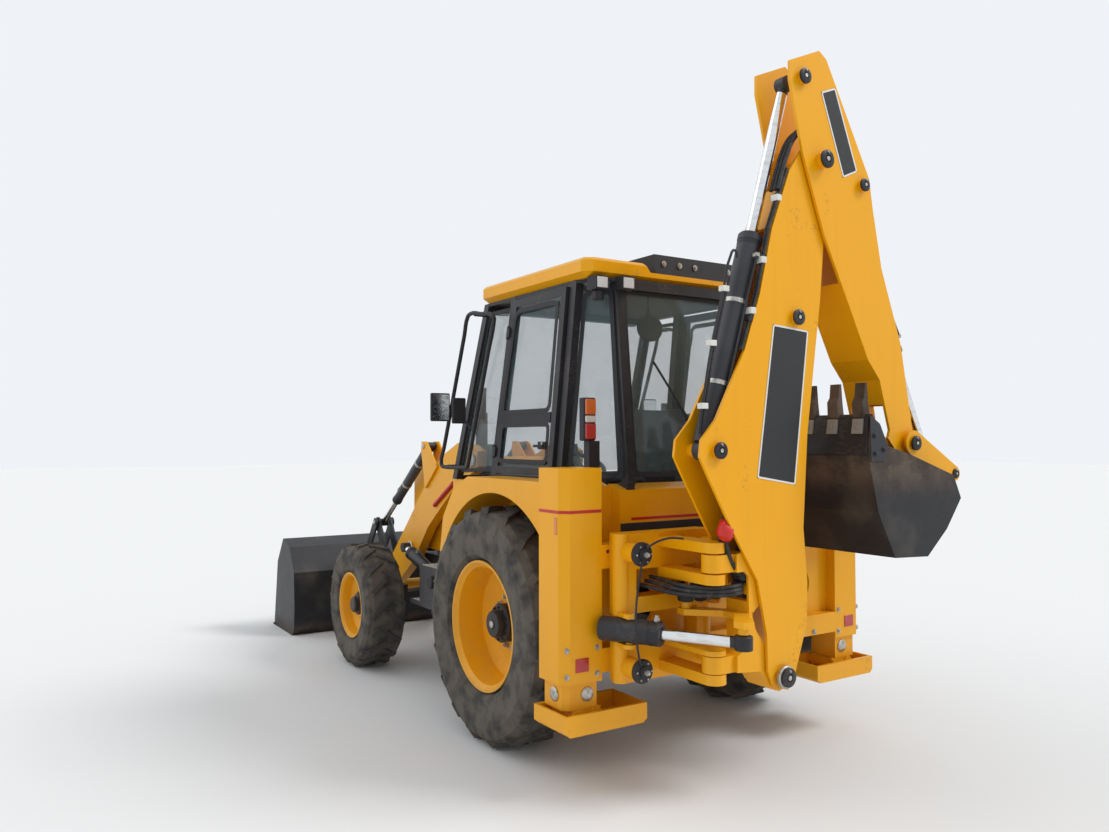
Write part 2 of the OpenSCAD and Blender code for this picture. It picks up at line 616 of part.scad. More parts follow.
// Kingpost: knuckles on the slew axis, a web to the foot pin, cheeks that hold the boom ram
// and one flange whose two lugs take the slew rams
module kingpost() backhoe() color(paint) difference() {
    union() {
        for (z = [[1133, 86], [654, 80]]) {
            translate([0, 0, z[0]]) cylinder(r = knuckle_r, h = z[1]);
            translate([0, -knuckle_r, z[0]]) cube([135, 2 * knuckle_r, z[1]]);
        }
        slab_y(-boom_in + 6, boom_in - 6)
            polygon([[80, 654], [80, 734], [158, 770], [158, 985], [205, 840], [330, 680], [402, 655],
                [435, 605], [415, 545], [360, 525], [300, 545], [262, 600], [230, 640]]);
        slab_y(-boom_in + 6, boom_in - 6) polygon([[80, 1133], [80, 1219], [135, 1225], [138, 1133]]);
        for (y = [-boom_in + 6, boom_in - 20]) slab_y(y, y + 14)
            polygon([[80, 1133], [80, 1219], [135, 1235], [225, 1140], [250, 1040], [225, 960], [185, 930],
                [158, 950], [155, 1110], [130, 1133]]);
        translate([0, 0, 900]) linear_extrude(30)
            polygon([[200, -60], [150, -78], [30, -240], [-30, -232], [-38, -175], [100, -40], [100, 40],
                [-38, 175], [-30, 232], [30, 240], [150, 78], [200, 60]]);
        rod_y(30, -boom_in + 6, boom_in - 6, post_pin);
        translate([0, -eye_r, 870]) cylinder(r = 25, h = 40);
        translate([0, eye_r, 920]) cylinder(r = 25, h = 40);
    }
    translate([0, 0, 600]) cylinder(r = 30 + fit, h = 700);
    rod_y(40 + fit, -200, 200, foot_pin);
}

// Slew ram between its trunnion and its eye, given beside the slew axis; the rod starts inside
module slew_at(y, eye, z) placed() translate([trunnion_x - slew_x, y + shift_y, z])
    rotate([0, 0, atan2(eye[1] - y, eye[0] - trunnion_x)]) children();
function slew_len(y, eye) = norm([eye[0] - trunnion_x, eye[1] - y]);

module slew_barrel(y, eye, z) slew_at(y, eye, z) color(black) difference() {
    translate([-150, 0, 0]) rotate([0, 90, 0]) cylinder(r = slew_barrel_r, h = 310);
    translate([-142, 0, 0]) rotate([0, 90, 0]) cylinder(r = 28 + fit, h = 400);
    for (z = [-100, 40]) translate([0, 0, z]) cylinder(r = 20 + fit, h = 60);
}
module slew_rod(y, eye, z, from) slew_at(y, eye, z) color(chrome) {
    translate([from, 0, 0]) rotate([0, 90, 0]) cylinder(r = 28, h = slew_len(y, eye) - from);
    translate([slew_len(y, eye), 0, -32]) cylinder(r = 42, h = 64);
}
module slew_barrel_left() slew_barrel(trunnion_y, [-eye_r, 0], left_ram_z);
module slew_rod_left() slew_rod(trunnion_y, [-eye_r, 0], left_ram_z, 150);
module slew_barrel_right() slew_barrel(-trunnion_y, [eye_r, 0], right_ram_z);
module slew_rod_right() slew_rod(-trunnion_y, [eye_r, 0], right_ram_z, -138);

boom_outline = [[300, 560], [262, 640], [256, 818], [197, 1086], [40, 1327], [-120, 1600], [-170, 1690],
    [-160, 1770], [-69, 1866], [122, 2207], [227, 2487], [314, 2821], [444, 3136], [560, 3290], [680, 3320],
    [770, 3250], [770, 3150], [696, 2836], [661, 2493], [614, 2186], [556, 1800], [520, 1326], [545, 1053],
    [540, 848], [450, 600], [400, 530]];

module boom() backhoe() color(paint) {
    for (y = [-boom_w / 2, boom_in]) difference() {
        slab_y(y, y + side_t) polygon(boom_outline);
        rod_y(40 + fit, -200, 200, dipper_pin);
    }
    slab_y(-boom_in - 1, boom_in + 1)
        polygon([[540, 900], [520, 1326], [556, 1800], [614, 2186], [661, 2493], [696, 2836], [720, 2950], [700, 2950],
            [676, 2836], [641, 2493], [594, 2186], [536, 1800], [500, 1326], [520, 900]]);
    slab_y(-boom_in - 1, boom_in + 1)
        polygon([[334, 2838], [424, 3053], [444, 3045], [354, 2830]]);
    rod_y(40, -boom_w / 2 - 40, boom_w / 2 + 40, foot_pin);
    for (y = [-boom_w / 2 - 20, boom_in]) rod_y(34, y, y + side_t + 20, boom_ram_pin);
    rod_y(34, -boom_w / 2 - 20, boom_w / 2 + 20, horn_pin);
}

// Two pipes clipped along the boom's edge towards the cab, as points from the lower end to the upper
hose_route = [[108, 2212], [212, 2490], [299, 2824], [430, 3141]];
hose_r = 7;
module boom_hoses() backhoe() color(black) for (i = [0:2]) {
    len = dist(hose_route[i], hose_route[i + 1]);
    for (y = [-94, -76]) aim(hose_route[i], hose_route[i + 1], y) {
        rotate([0, 90, 0]) cylinder(r = hose_r, h = len);
        sphere(r = hose_r * 1.2);
        translate([len, 0, 0]) sphere(r = hose_r * 1.2);
    }
    aim(hose_route[i], hose_route[i + 1], -85) translate([len * 0.5, -17, -14.3]) cube([28, 34, 25]);
}

boom_len = 1180;
module boom_barrel() backhoe() color(black) barrel(post_pin, boom_ram_pin, boom_len, barrel_r, 60, piston_r, 30);
module boom_rod() backhoe() color(chrome) piston(post_pin, boom_ram_pin, 250, piston_r, 60);

dipper_outline = [[428, 3688], [645, 3785], [700, 3751], [1033, 3176], [1060, 3015], [1127, 2702], [1285, 2295],
    [1378, 1823], [1560, 1600], [1645, 1530], [1625, 1480], [1540, 1480], [1241, 1701], [1168, 1776], [1184, 1822],
    [1101, 2092], [1007, 2197], [672, 2826], [517, 3230], [427, 3590]];

module dipper() backhoe() color(paint) {
    for (y = [-tail_out, tail_in]) difference() {
        slab_y(y, y + side_t) polygon(dipper_outline);
        rod_y(30 + fit, -300, 300, bucket_pin);
    }
    rod_y(40, -tail_out - 40, tail_out + 40, dipper_pin);
    slab_y(-tail_in - 1, tail_in + 1)
        polygon([[1213, 2480], [1285, 2295], [1350, 1960], [1330, 1960], [1265, 2295], [1193, 2480]]);
    slab_y(-tail_in - 1, tail_in + 1) polygon([[800, 2590], [1007, 2197], [1101, 2092], [1140, 1960], [1160, 1965],
        [1121, 2100], [1025, 2210], [818, 2600]]);
    rod_y(34, -lever_out - 10, lever_out + 10, lever_pin);
    for (y = [-tail_out - 20, tail_in]) rod_y(34, y, y + side_t + 20, tail_pin);
    rod_y(30, -tail_out - 20, tail_out + 20, bucket_ram_pin);
}

dipper_len = 1120;
module dipper_barrel() backhoe() color(black) barrel(horn_pin, tail_pin, dipper_len, barrel_r, 60, piston_r, 34);
module dipper_rod() backhoe() color(chrome) piston(horn_pin, tail_pin, 800, piston_r, 60);

bucket_len = 960;
module bucket_barrel() backhoe() color(black) barrel(bucket_ram_pin, lever_end, bucket_len, 50, 50, 26, 30);
module bucket_rod() backhoe() color(chrome) piston(bucket_ram_pin, lever_end, 650, 26, 50);

module bucket_lever() backhoe() color(paint) for (side = [-1, 1]) scale([1, side, 1]) {
    slab_y(lever_in, lever_out) difference() {
        hull() {
            translate(lever_pin) circle(r = 70, $fn = 32);
            translate(lever_end) circle(r = lever_end_r, $fn = 32);
        }
        translate(lever_pin) circle(r = 34 + fit);
    }
    rod_y(24, 40, lever_out, lever_end);
}

module bucket_link() backhoe() color(black) for (y = [-100, 60]) slab_y(y, y + 40) difference() {
    hull() {
        translate(lever_end) circle(r = 36, $fn = 32);
        translate(link_pin) circle(r = 36, $fn = 32);
    }
    translate(lever_end) circle(r = 24 + fit);
}

bucket_outline = [[790, 1900], [765, 1654], [830, 1400], [960, 1164], [1230, 1153], [1400, 1290], [1530, 1450],
    [1465, 1577], [1100, 1690], [900, 1740]];
module bucket() backhoe() color(black) {
    slab_y(-bucket_w / 2, bucket_w / 2) polygon([[790, 1900], [765, 1654], [830, 1400], [960, 1164], [1230, 1153],
        [1400, 1290], [1530, 1450], [1519, 1458], [1390, 1300], [1225, 1167], [968, 1178], [844, 1405], [779, 1655],
        [804, 1900]]);
    for (y = [-bucket_w / 2 - bucket_t, bucket_w / 2]) slab_y(y, y + bucket_t) polygon(bucket_outline);
    for (y = [-ear_out, ear_in]) slab_y(y, y + bucket_t)
        polygon([[1380, 1290], [1520, 1450], [1530, 1570], [1580, 1590], [1635, 1550],
            [1640, 1500], [1610, 1250], [1540, 1230], [1330, 1235]]);
    rod_y(30, -ear_out - 4, ear_out + 4, bucket_pin);
    for (i = [0:3]) translate([0, (i - 1.5) * 160, 0]) slab_y(-30, 30)
        polygon([[785, 1860], [776, 1900], [792, 2060], [806, 2060], [820, 1900], [805, 1860]]);
}

// Leg that slides in its column, with a forked foot pinned to a pad with turned up edges
module stab_leg(side) placed() color(paint) scale([1, side, 1]) {
    difference() {
        translate([0, 0, 430]) linear_extrude(1100) column_outline(column_t + leg_fit);
        translate([0, 0, 490]) linear_extrude(1041) column_outline(column_t + leg_fit + 16);
    }
    difference() {
        slab_x(-1010, -710) polygon([[640, 350], [665, 330], [1110, 330], [1135, 350], [1135, 430], [640, 430]]);
        slab_x(-990, -730) polygon([[655, 350], [1120, 350], [1120, 440], [655, 440]]);
    }
    for (x = [-910, -770]) slab_x(x - 10, x + 10) polygon([[870, 340], [1040, 340], [1040, 431], [870, 431]]);
    for (y = [900, 1010]) rod_x(34, -930, -735, [y, 395]);
}
module stab_leg_left() stab_leg(1);
module stab_leg_right() stab_leg(-1);

chassis();
rear_axle();
front_axle();
knuckle_left();
knuckle_right();
rear_rim_left();
rear_rim_right();
front_rim_left();
front_rim_right();
rear_tyre_left();
rear_tyre_right();
front_tyre_left();
front_tyre_right();
engine_block();
bonnet();
grille();
exhaust();
cab_body();
cab_frame();
cab_roof();
air_hood();
cab_glass();
door_left();
door_right();
door_glass_left();
door_glass_right();
seat();
controls();
side_steps();
mirrors();
lamps();
loader_arms();
lift_barrels();
lift_rods();
tilt_barrels();
tilt_rods();
tilt_levers();
tilt_links();
shovel();
rear_frame();
carriage();
kingpost();
slew_barrel_left();
slew_rod_left();
slew_barrel_right();
slew_rod_right();
boom();
boom_hoses();
boom_barrel();
boom_rod();
dipper();
dipper_barrel();
dipper_rod();
bucket_barrel();
bucket_rod();
bucket_lever();
bucket_link();
bucket();
stab_leg_left();
stab_leg_right();
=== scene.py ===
"""Looks of a wheeled digging and loading machine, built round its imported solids."""
import math

import bmesh
import bpy
from bpy.props import FloatProperty, FloatVectorProperty, IntProperty, PointerProperty
from bpy.types import Operator, Panel, PropertyGroup
from mathutils import Matrix, Vector


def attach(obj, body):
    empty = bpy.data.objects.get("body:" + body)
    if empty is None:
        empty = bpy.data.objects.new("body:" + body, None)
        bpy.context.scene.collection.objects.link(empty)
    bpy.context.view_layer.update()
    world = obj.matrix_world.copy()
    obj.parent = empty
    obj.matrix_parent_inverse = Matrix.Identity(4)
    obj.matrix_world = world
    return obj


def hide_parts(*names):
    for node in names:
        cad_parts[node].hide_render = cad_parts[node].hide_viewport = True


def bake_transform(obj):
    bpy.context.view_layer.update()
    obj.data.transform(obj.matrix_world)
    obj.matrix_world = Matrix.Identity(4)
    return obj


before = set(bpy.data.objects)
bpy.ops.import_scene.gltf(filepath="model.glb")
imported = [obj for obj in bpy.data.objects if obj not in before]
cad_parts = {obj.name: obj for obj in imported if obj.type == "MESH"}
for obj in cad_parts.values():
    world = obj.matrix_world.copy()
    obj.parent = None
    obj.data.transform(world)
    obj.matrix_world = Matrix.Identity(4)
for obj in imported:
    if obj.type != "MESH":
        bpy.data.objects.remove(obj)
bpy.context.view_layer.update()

bl_info = {
    "name": "Backhoe loader looks",
    "version": (1, 0, 0),
    "blender": (4, 5, 0),
    "location": "View3D > Sidebar > Loader",
    "description": "Finishes and small pieces of a backhoe loader, added to its packed solids",
    "category": "Object",
}

X, Y, Z = Vector((1, 0, 0)), Vector((0, 1, 0)), Vector((0, 0, 1))
SIDES = (("left", 1), ("right", -1))
# Rear axle's middle in the frame, in metres, and the slew axis from there, in mm
AXLE_X, AXLE_Y = 1.208, 0.032
SLEW_X, SLEW_Y = -1400, 540
# Cab side: half its width at the sill, the sill's height, and how far the side leans in over a height, in mm
SILL_Y, SILL_Z, LEAN_IN, LEAN_HEIGHT = 750, 1500, 50, 1220
# Camera solved from the photograph: place in metres, turns in radians, sizes in pixels and mm
EYE, YAW, PITCH, ROLL = (-5.8076, 3.5288, 1.7733), -0.5694, 0.0267, -0.0021
FOCAL_PIXELS, WIDE_PIXELS, SENSOR = 884.5046, 1109, 36
FLOOR_HALF, CLIP_END = 60, 200  # m
BACKGROUND = 0.93  # sky strength seen by the camera, through glass and in reflections
# Radians of wave in a metre: rings of a tyre's side, ribs of a lens, threads of the seat's cloth
RINGS, RIBS, THREADS = 260.0, 900.0, 2600.0
EYE_ROOM = 0.123  # m from a barrel's end to the middle of the rod's eye, at least
# Angles between faces: sharp from the first, rounded by a bevel from the second
SHARP, ROUNDED = math.radians(35), math.radians(40)
WELD = 1e-6  # m
# Middle of a wheel from the ground under the rear axle (mm), rim's and hub's radius (m)
WHEELS = {"rear": (0, 885, 690, 0.378, 0.112), "front": (2170, 945, 476, 0.253, 0.082)}


def at(x, y, z):
    """Point given in mm from the ground under the rear axle, in the frame of the solids in metres."""
    return Vector((x / 1000 - AXLE_X, y / 1000 + AXLE_Y, z / 1000))


def on_side(sign):
    """The function at for the left side (1), or mirrored for the right one (-1)."""
    return lambda x, y, z: at(x, sign * y, z)


def on_cab(sign):
    """A function for points on a cab side, or so many mm out of it, from length and height."""
    return lambda x, z, out=0.0: at(x, sign * (SILL_Y - (z - SILL_Z) * LEAN_IN / LEAN_HEIGHT + out), z)


def on_plane(place, out, *pairs):
    """Points of a cab side, so many mm out of it, from pairs of length and height."""
    return [place(x, z, out) for x, z in pairs]


def digger(u, v, z):
    """Point given in mm behind the slew axis, beside the arm's middle plane and above the ground."""
    return at(SLEW_X + v, SLEW_Y - u, z)


def arm(v, *pairs):
    """Points beside the arm's middle plane, from pairs of distance behind the slew axis and height."""
    return [digger(u, v, z) for u, z in pairs]


class Wire:
    """Output of a node, whose arithmetic adds Math nodes beside it."""

    def __init__(self, graph, socket):
        self.graph, self.socket = graph, socket

    def math(self, operation, first, second=0.0):
        return self.graph.node("ShaderNodeMath", {"operation": operation}, {0: first, 1: second})

    def __add__(self, other):
        return self.math("ADD", self, other)

    def __sub__(self, other):
        return self.math("SUBTRACT", self, other)

    def __rsub__(self, other):
        return self.math("SUBTRACT", other, self)

    def __mul__(self, other):
        return self.math("MULTIPLY", self, other)

    def __pow__(self, other):
        return self.math("POWER", self, other)

    def wave(self):
        return self.math("SINE", self)

    __radd__ = __add__
    __rmul__ = __mul__


class Graph:
    """Node tree whose nodes all come from one method."""

    def __init__(self, tree):
        self.tree = tree

    def feed(self, socket, value):
        """Joins a wire to a socket, or sets the socket's own value."""
        if isinstance(value, Wire):
            self.tree.links.new(value.socket, socket)
        elif socket.type == "RGBA":
            socket.default_value = (*value, 1.0)
        else:
            socket.default_value = value

    def node(self, kind, settings=None, inputs=None, out=0):
        made = self.tree.nodes.new(kind)
        for name, value in (settings or {}).items():
            setattr(made, name, value)
        for key, value in (inputs or {}).items():
            self.feed(made.inputs[key], value)
        return Wire(self, made.outputs[out])


class Finish(Graph):
    """Material under construction: a Principled shader and the nodes that feed it."""

    def __init__(self, name):
        self.material = bpy.data.materials.new(name)
        self.material.use_nodes = True
        super().__init__(self.material.node_tree)
        self.shader = self.tree.nodes["Principled BSDF"]
        self.place = self.node("ShaderNodeTexCoord", out="Object")

    def moved(self, centre=(0, 0, 0), stretch=(1, 1, 1)):
        shift = tuple(-c * s for c, s in zip(centre, stretch))
        return self.node("ShaderNodeMapping", {}, {"Vector": self.place, "Location": shift, "Scale": stretch})

    def noise(self, scale, detail=3.0, stretch=None):
        vector = self.moved(stretch=stretch) if stretch else self.place
        return self.node("ShaderNodeTexNoise", {}, {"Vector": vector, "Scale": scale, "Detail": detail})

    def band(self, value, low, high):
        """0 below the low value and 1 above the high one, smooth between them."""
        return self.node("ShaderNodeMapRange", {"interpolation_type": "SMOOTHSTEP"},
                         {"Value": value, "From Min": low, "From Max": high})

    def patches(self, scale, detail, low, high, stretch=None):
        """Mask of the places where a noise is high."""
        return self.band(self.noise(scale, detail, stretch), low, high)

    def blend(self, mask, below, above):
        return self.node("ShaderNodeMix", {"data_type": "RGBA"}, {0: mask, 6: below, 7: above}, out=2)

    def axis(self, name, vector=None):
        return self.node("ShaderNodeSeparateXYZ", {}, {0: vector or self.place}, out=name)

    def radius(self, centre):
        """Distance from the line through a centre along the axles."""
        local = self.moved(centre)
        return (self.axis("X", local) ** 2 + self.axis("Z", local) ** 2) ** 0.5

    def bump(self, height, depth, strength=0.5):
        self.feed(self.shader.inputs["Normal"],
                  self.node("ShaderNodeBump", {}, {"Height": height, "Distance": depth, "Strength": strength}))

    def done(self, **values):
        """The material, with values or wires for the shader's sockets."""
        for name, value in values.items():
            self.feed(self.shader.inputs[name.replace("_", " ")], value)
        return self.material


MATERIALS = {}
STRUT_RED, STRIPE_RED, CLIP_WHITE = (0.50, 0.014, 0.012), (0.50, 0.012, 0.01), (0.70, 0.69, 0.64)


def finish(maker, *values):
    """Material of a maker function and its values, made once."""
    key = (maker.__name__, *values)
    if key not in MATERIALS:
        MATERIALS[key] = maker(Finish(maker.__name__), *values)
    return MATERIALS[key]


def settings():
    return bpy.context.scene.loader_paint


def grime(f, reach=1.4):
    """Mask of the dust that lies on level faces and climbs from the ground."""
    height = f.axis("Z")
    low = 1.0 - f.band(height + f.noise(2.2, 4) * 0.6, 0.3, reach)
    facing_up = f.axis("Z", f.node("ShaderNodeNewGeometry", out="Normal"))
    level = f.band(facing_up, 0.75, 1.0) * f.patches(5.0, 5, 0.4, 0.75)
    return (low * 0.55 + level * 0.45) * settings().dust


def body_paint(f):
    """Amber paint, faded in patches, streaked down its sides, dusty low down and chipped in specks."""
    s = settings()
    fade = f.noise(1.1, 4)
    streaks = f.patches(2.0, 5, 0.5, 0.75, stretch=(9, 9, 0.5))
    chips = f.band(f.noise(70, 4) * f.patches(3.2, 3, 0.45, 0.7), 0.52, 0.56)
    colour = f.blend(f.band(fade, 0.35, 0.7) * 0.35, s.body_colour, (0.84, 0.40, 0.004))
    colour = f.blend(streaks * 0.12, colour, (0.62, 0.26, 0.005))
    dust = grime(f)
    colour = f.blend(dust, colour, s.dust_colour)
    colour = f.blend(chips * s.wear, colour, (0.10, 0.07, 0.05))
    f.bump(f.noise(160, 2) * 0.3 + chips * -0.8, 0.0006)
    return f.done(Base_Color=colour, Roughness=0.30 + dust * 0.5 + f.noise(9, 3) * 0.12 + chips * 0.3,
                  Coat_Weight=0.1, Coat_Roughness=0.12, Specular_IOR_Level=0.3)


def black_paint(f, tone=1.0):
    """Black paint over steel, greyed by dust, with scuffs that show metal."""
    s = settings()
    scuffs = f.band(f.noise(38, 6, stretch=(1, 1, 2.5)) * f.patches(2.6, 3, 0.4, 0.65), 0.44, 0.5)
    base = tuple(c * tone for c in s.dark_colour)
    colour = f.blend(f.patches(3.0, 4, 0.35, 0.7), base, tuple(c * 1.7 for c in base))
    dust = grime(f) * 0.8
    colour = f.blend(dust, colour, s.dust_colour)
    colour = f.blend(scuffs * s.wear, colour, (0.20, 0.18, 0.16))
    f.bump(f.noise(120, 3), 0.0006)
    return f.done(Base_Color=colour, Roughness=0.36 + dust * 0.5 + f.noise(12, 3) * 0.15, Metallic=scuffs * 0.5,
                  Specular_IOR_Level=0.3)


def dark_plastic(f):
    """Moulded dark plastic with a fine grain."""
    colour = f.blend(grime(f) * 0.6, (0.022, 0.022, 0.025), settings().dust_colour)
    f.bump(f.noise(420, 2), 0.0004, 0.7)
    return f.done(Base_Color=colour, Roughness=0.55 + f.noise(16, 3) * 0.12, Specular_IOR_Level=0.35)


def worn_steel(f, start, end, amount):
    """Digging steel: black paint, worn to brown and to scoured metal from one height to another."""
    height = f.axis("Z") + f.noise(7, 5) * 0.14 - 0.07
    way = 1 if end > start else -1
    worn = f.band(height * way, start * way, end * way) * amount
    brown = f.blend(f.patches(5.5, 6, 0.4, 0.62), (0.050, 0.034, 0.025), (0.115, 0.080, 0.055))
    scoured = f.patches(24, 5, 0.55, 0.75, stretch=(1, 1, 4)) * 0.35
    bare = f.blend(scoured, brown, (0.24, 0.22, 0.20))
    colour = f.blend(worn, (0.016, 0.016, 0.018), bare)
    colour = f.blend(f.patches(3.4, 5, 0.5, 0.8) * 0.16, colour, settings().dust_colour)
    f.bump(f.noise(60, 6), 0.0015)
    return f.done(Base_Color=colour, Roughness=0.40 + worn * 0.22 + f.noise(20, 3) * 0.1,
                  Metallic=worn * scoured * 1.5, Specular_IOR_Level=0.3)


def tyre_rubber(f, centre, rim_r, tyre_r):
    """Dusty rubber: pale mud between the lugs, darker lug tops, and fine rings moulded in the side."""
    r = f.radius(centre)
    tops = f.band(r, tyre_r - 0.012, tyre_r - 0.004)
    colour = f.blend(f.patches(9, 6, 0.3, 0.62), (0.030, 0.029, 0.028), (0.105, 0.090, 0.072))
    colour = f.blend(tops * 0.75, colour, (0.045, 0.043, 0.042))
    colour = f.blend(f.patches(30, 5, 0.55, 0.8) * 0.35, colour, (0.15, 0.13, 0.105))
    rings = (r * RINGS).wave() * (1.0 - f.band(r, rim_r + 0.075, rim_r + 0.085))
    f.bump(f.noise(95, 5) * 0.6 + rings * 0.5, 0.0016, 0.8)
    return f.done(Base_Color=colour, Roughness=0.78 + f.noise(14, 3) * 0.14)


def rim_paint(f, centre, rim_r, hub_r):
    """Wheel paint: amber with patches of dirt, darker brown towards the rim's edge and round the hub, black
    over the hub.
    """
    r = f.radius(centre)
    dirt = f.patches(6, 6, 0.36, 0.72)
    # Darker brown in smooth bands towards the rim's edge and round the hub
    ring = f.band(r, rim_r * 0.9, rim_r) * 0.2 + (1.0 - f.band(r, hub_r, hub_r * 2.0)) * 0.15
    colour = f.blend(dirt * 0.14 + ring, settings().body_colour, (0.26, 0.17, 0.08))
    colour = f.blend(1.0 - f.band(r, hub_r + 0.001, hub_r + 0.003), colour, (0.02, 0.02, 0.022))
    f.bump(f.noise(110, 3), 0.0006)
    return f.done(Base_Color=colour, Roughness=0.42 + dirt * 0.25)


def chrome(f, eye=(0, 0, 0), flat=(1, 1, 1)):
    """Polished ram rod with a thin film of oil, and the black eye at its end."""
    film = f.patches(16, 4, 0.4, 0.75, stretch=(1, 1, 3))
    away = f.node("ShaderNodeVectorMath", {"operation": "LENGTH"}, {0: f.moved(eye, flat)}, out="Value")
    bare = f.band(away, 0.062, 0.064)
    colour = f.blend(film * 0.4, (0.78, 0.79, 0.80), (0.40, 0.38, 0.34))
    colour = f.blend(bare, (0.018, 0.018, 0.020), colour)
    f.bump(f.noise(260, 2), 0.0002, 0.4)
    return f.done(Base_Color=colour, Metallic=bare, Roughness=0.42 - bare * 0.32 + film * 0.22)


def zinc(f):
    """Plated fitting, dull and slightly golden."""
    colour = f.blend(f.patches(60, 4, 0.35, 0.7), (0.55, 0.54, 0.50), (0.34, 0.32, 0.27))
    f.bump(f.noise(300, 2), 0.0003)
    return f.done(Base_Color=colour, Metallic=0.9, Roughness=0.32 + f.noise(45, 2) * 0.2)


def iron(f):
    """Oily cast iron."""
    colour = f.blend(f.patches(8, 6, 0.4, 0.65), (0.035, 0.034, 0.033), (0.10, 0.085, 0.065))
    f.bump(f.noise(85, 5), 0.002, 0.7)
    return f.done(Base_Color=colour, Metallic=0.4, Roughness=0.55 + f.noise(20, 3) * 0.2)


def pane(f):
    """Clear glass with a faint green tint and a film of dust."""
    film = f.patches(4.5, 5, 0.45, 0.8)
    colour = f.blend(film * 0.5, (0.12, 0.20, 0.215), (0.20, 0.26, 0.27))
    f.material.surface_render_method = "BLENDED"
    return f.done(Base_Color=colour, Roughness=0.02 + film * 0.05, Alpha=0.20 + film * 0.05, Coat_Weight=1.0)


def lens(f, colour):
    """Ribbed lamp lens, its colour darkened between the ribs as painted shade."""
    ribs = (f.axis("Y") * RIBS).wave() * (f.axis("Z") * RIBS).wave()
    # Painted shade: the colour falls to 0.72 of itself in the troughs between the ribs
    shade = f.blend(f.band(ribs, -0.4, 0.6), tuple(c * 0.72 for c in colour), colour)
    f.bump(ribs, 0.0008, 0.8)
    return f.done(Base_Color=shade, Roughness=0.12 + f.noise(30, 2) * 0.1, Coat_Weight=0.8)


def cloth(f):
    """Dark woven seat cloth."""
    across, along, rise = ((f.axis(way) * THREADS).wave() for way in "XYZ")
    weave = across * along + rise * 0.5
    colour = f.blend(f.band(weave + f.noise(22, 4), -0.2, 1.3), (0.018, 0.018, 0.021), (0.06, 0.06, 0.068))
    f.bump(weave, 0.0006, 0.8)
    return f.done(Base_Color=colour, Roughness=0.86 + f.noise(30, 2) * 0.08, Sheen_Weight=0.3)


def hose_rubber(f):
    """Black hose cover with a wrapped cloth print and dust."""
    colour = f.blend(f.patches(26, 5, 0.45, 0.75) * 0.6, (0.016, 0.016, 0.017), (0.085, 0.078, 0.066))
    f.bump(f.noise(380, 3), 0.0005, 0.8)
    return f.done(Base_Color=colour, Roughness=0.55 + f.noise(32, 2) * 0.15)


def plain(f, colour, rough):
    """Small painted or printed piece in one colour, worn a little."""
    wear = f.patches(30, 5, 0.5, 0.8)
    shade = f.blend(wear * 0.3, colour, tuple(0.5 * c + 0.03 for c in colour))
    f.bump(f.noise(200, 2), 0.0003)
    return f.done(Base_Color=shade, Roughness=rough + wear * 0.2)


def exhaust_metal(f):
    """Heat stained exhaust, rusty near its mouth."""
    heat = f.band(f.axis("Z") + f.noise(9, 5) * 0.25, 1.75, 2.25)
    colour = f.blend(heat, (0.022, 0.021, 0.021), (0.13, 0.062, 0.032))
    f.bump(f.noise(130, 5), 0.001, 0.7)
    return f.done(Base_Color=colour, Roughness=0.6 + f.noise(24, 3) * 0.2)


def backdrop(f, colour):
    """Pale floor, a shade uneven."""
    tone = f.blend(f.noise(0.7, 2) * 0.1, colour, tuple(c * 0.93 for c in colour))
    return f.done(Base_Color=tone, Roughness=0.85)


def turn_to(direction):
    return Vector(direction).to_track_quat("Z", "Y").to_matrix().to_4x4()


def shift_new(bm, made, shift):
    """Moves the points that an extrusion made."""
    bmesh.ops.translate(bm, verts=[v for v in made["geom"] if isinstance(v, bmesh.types.BMVert)], vec=shift)


def link(name, data):
    piece = bpy.data.objects.new(name, data)
    bpy.context.scene.collection.objects.link(piece)
    return piece


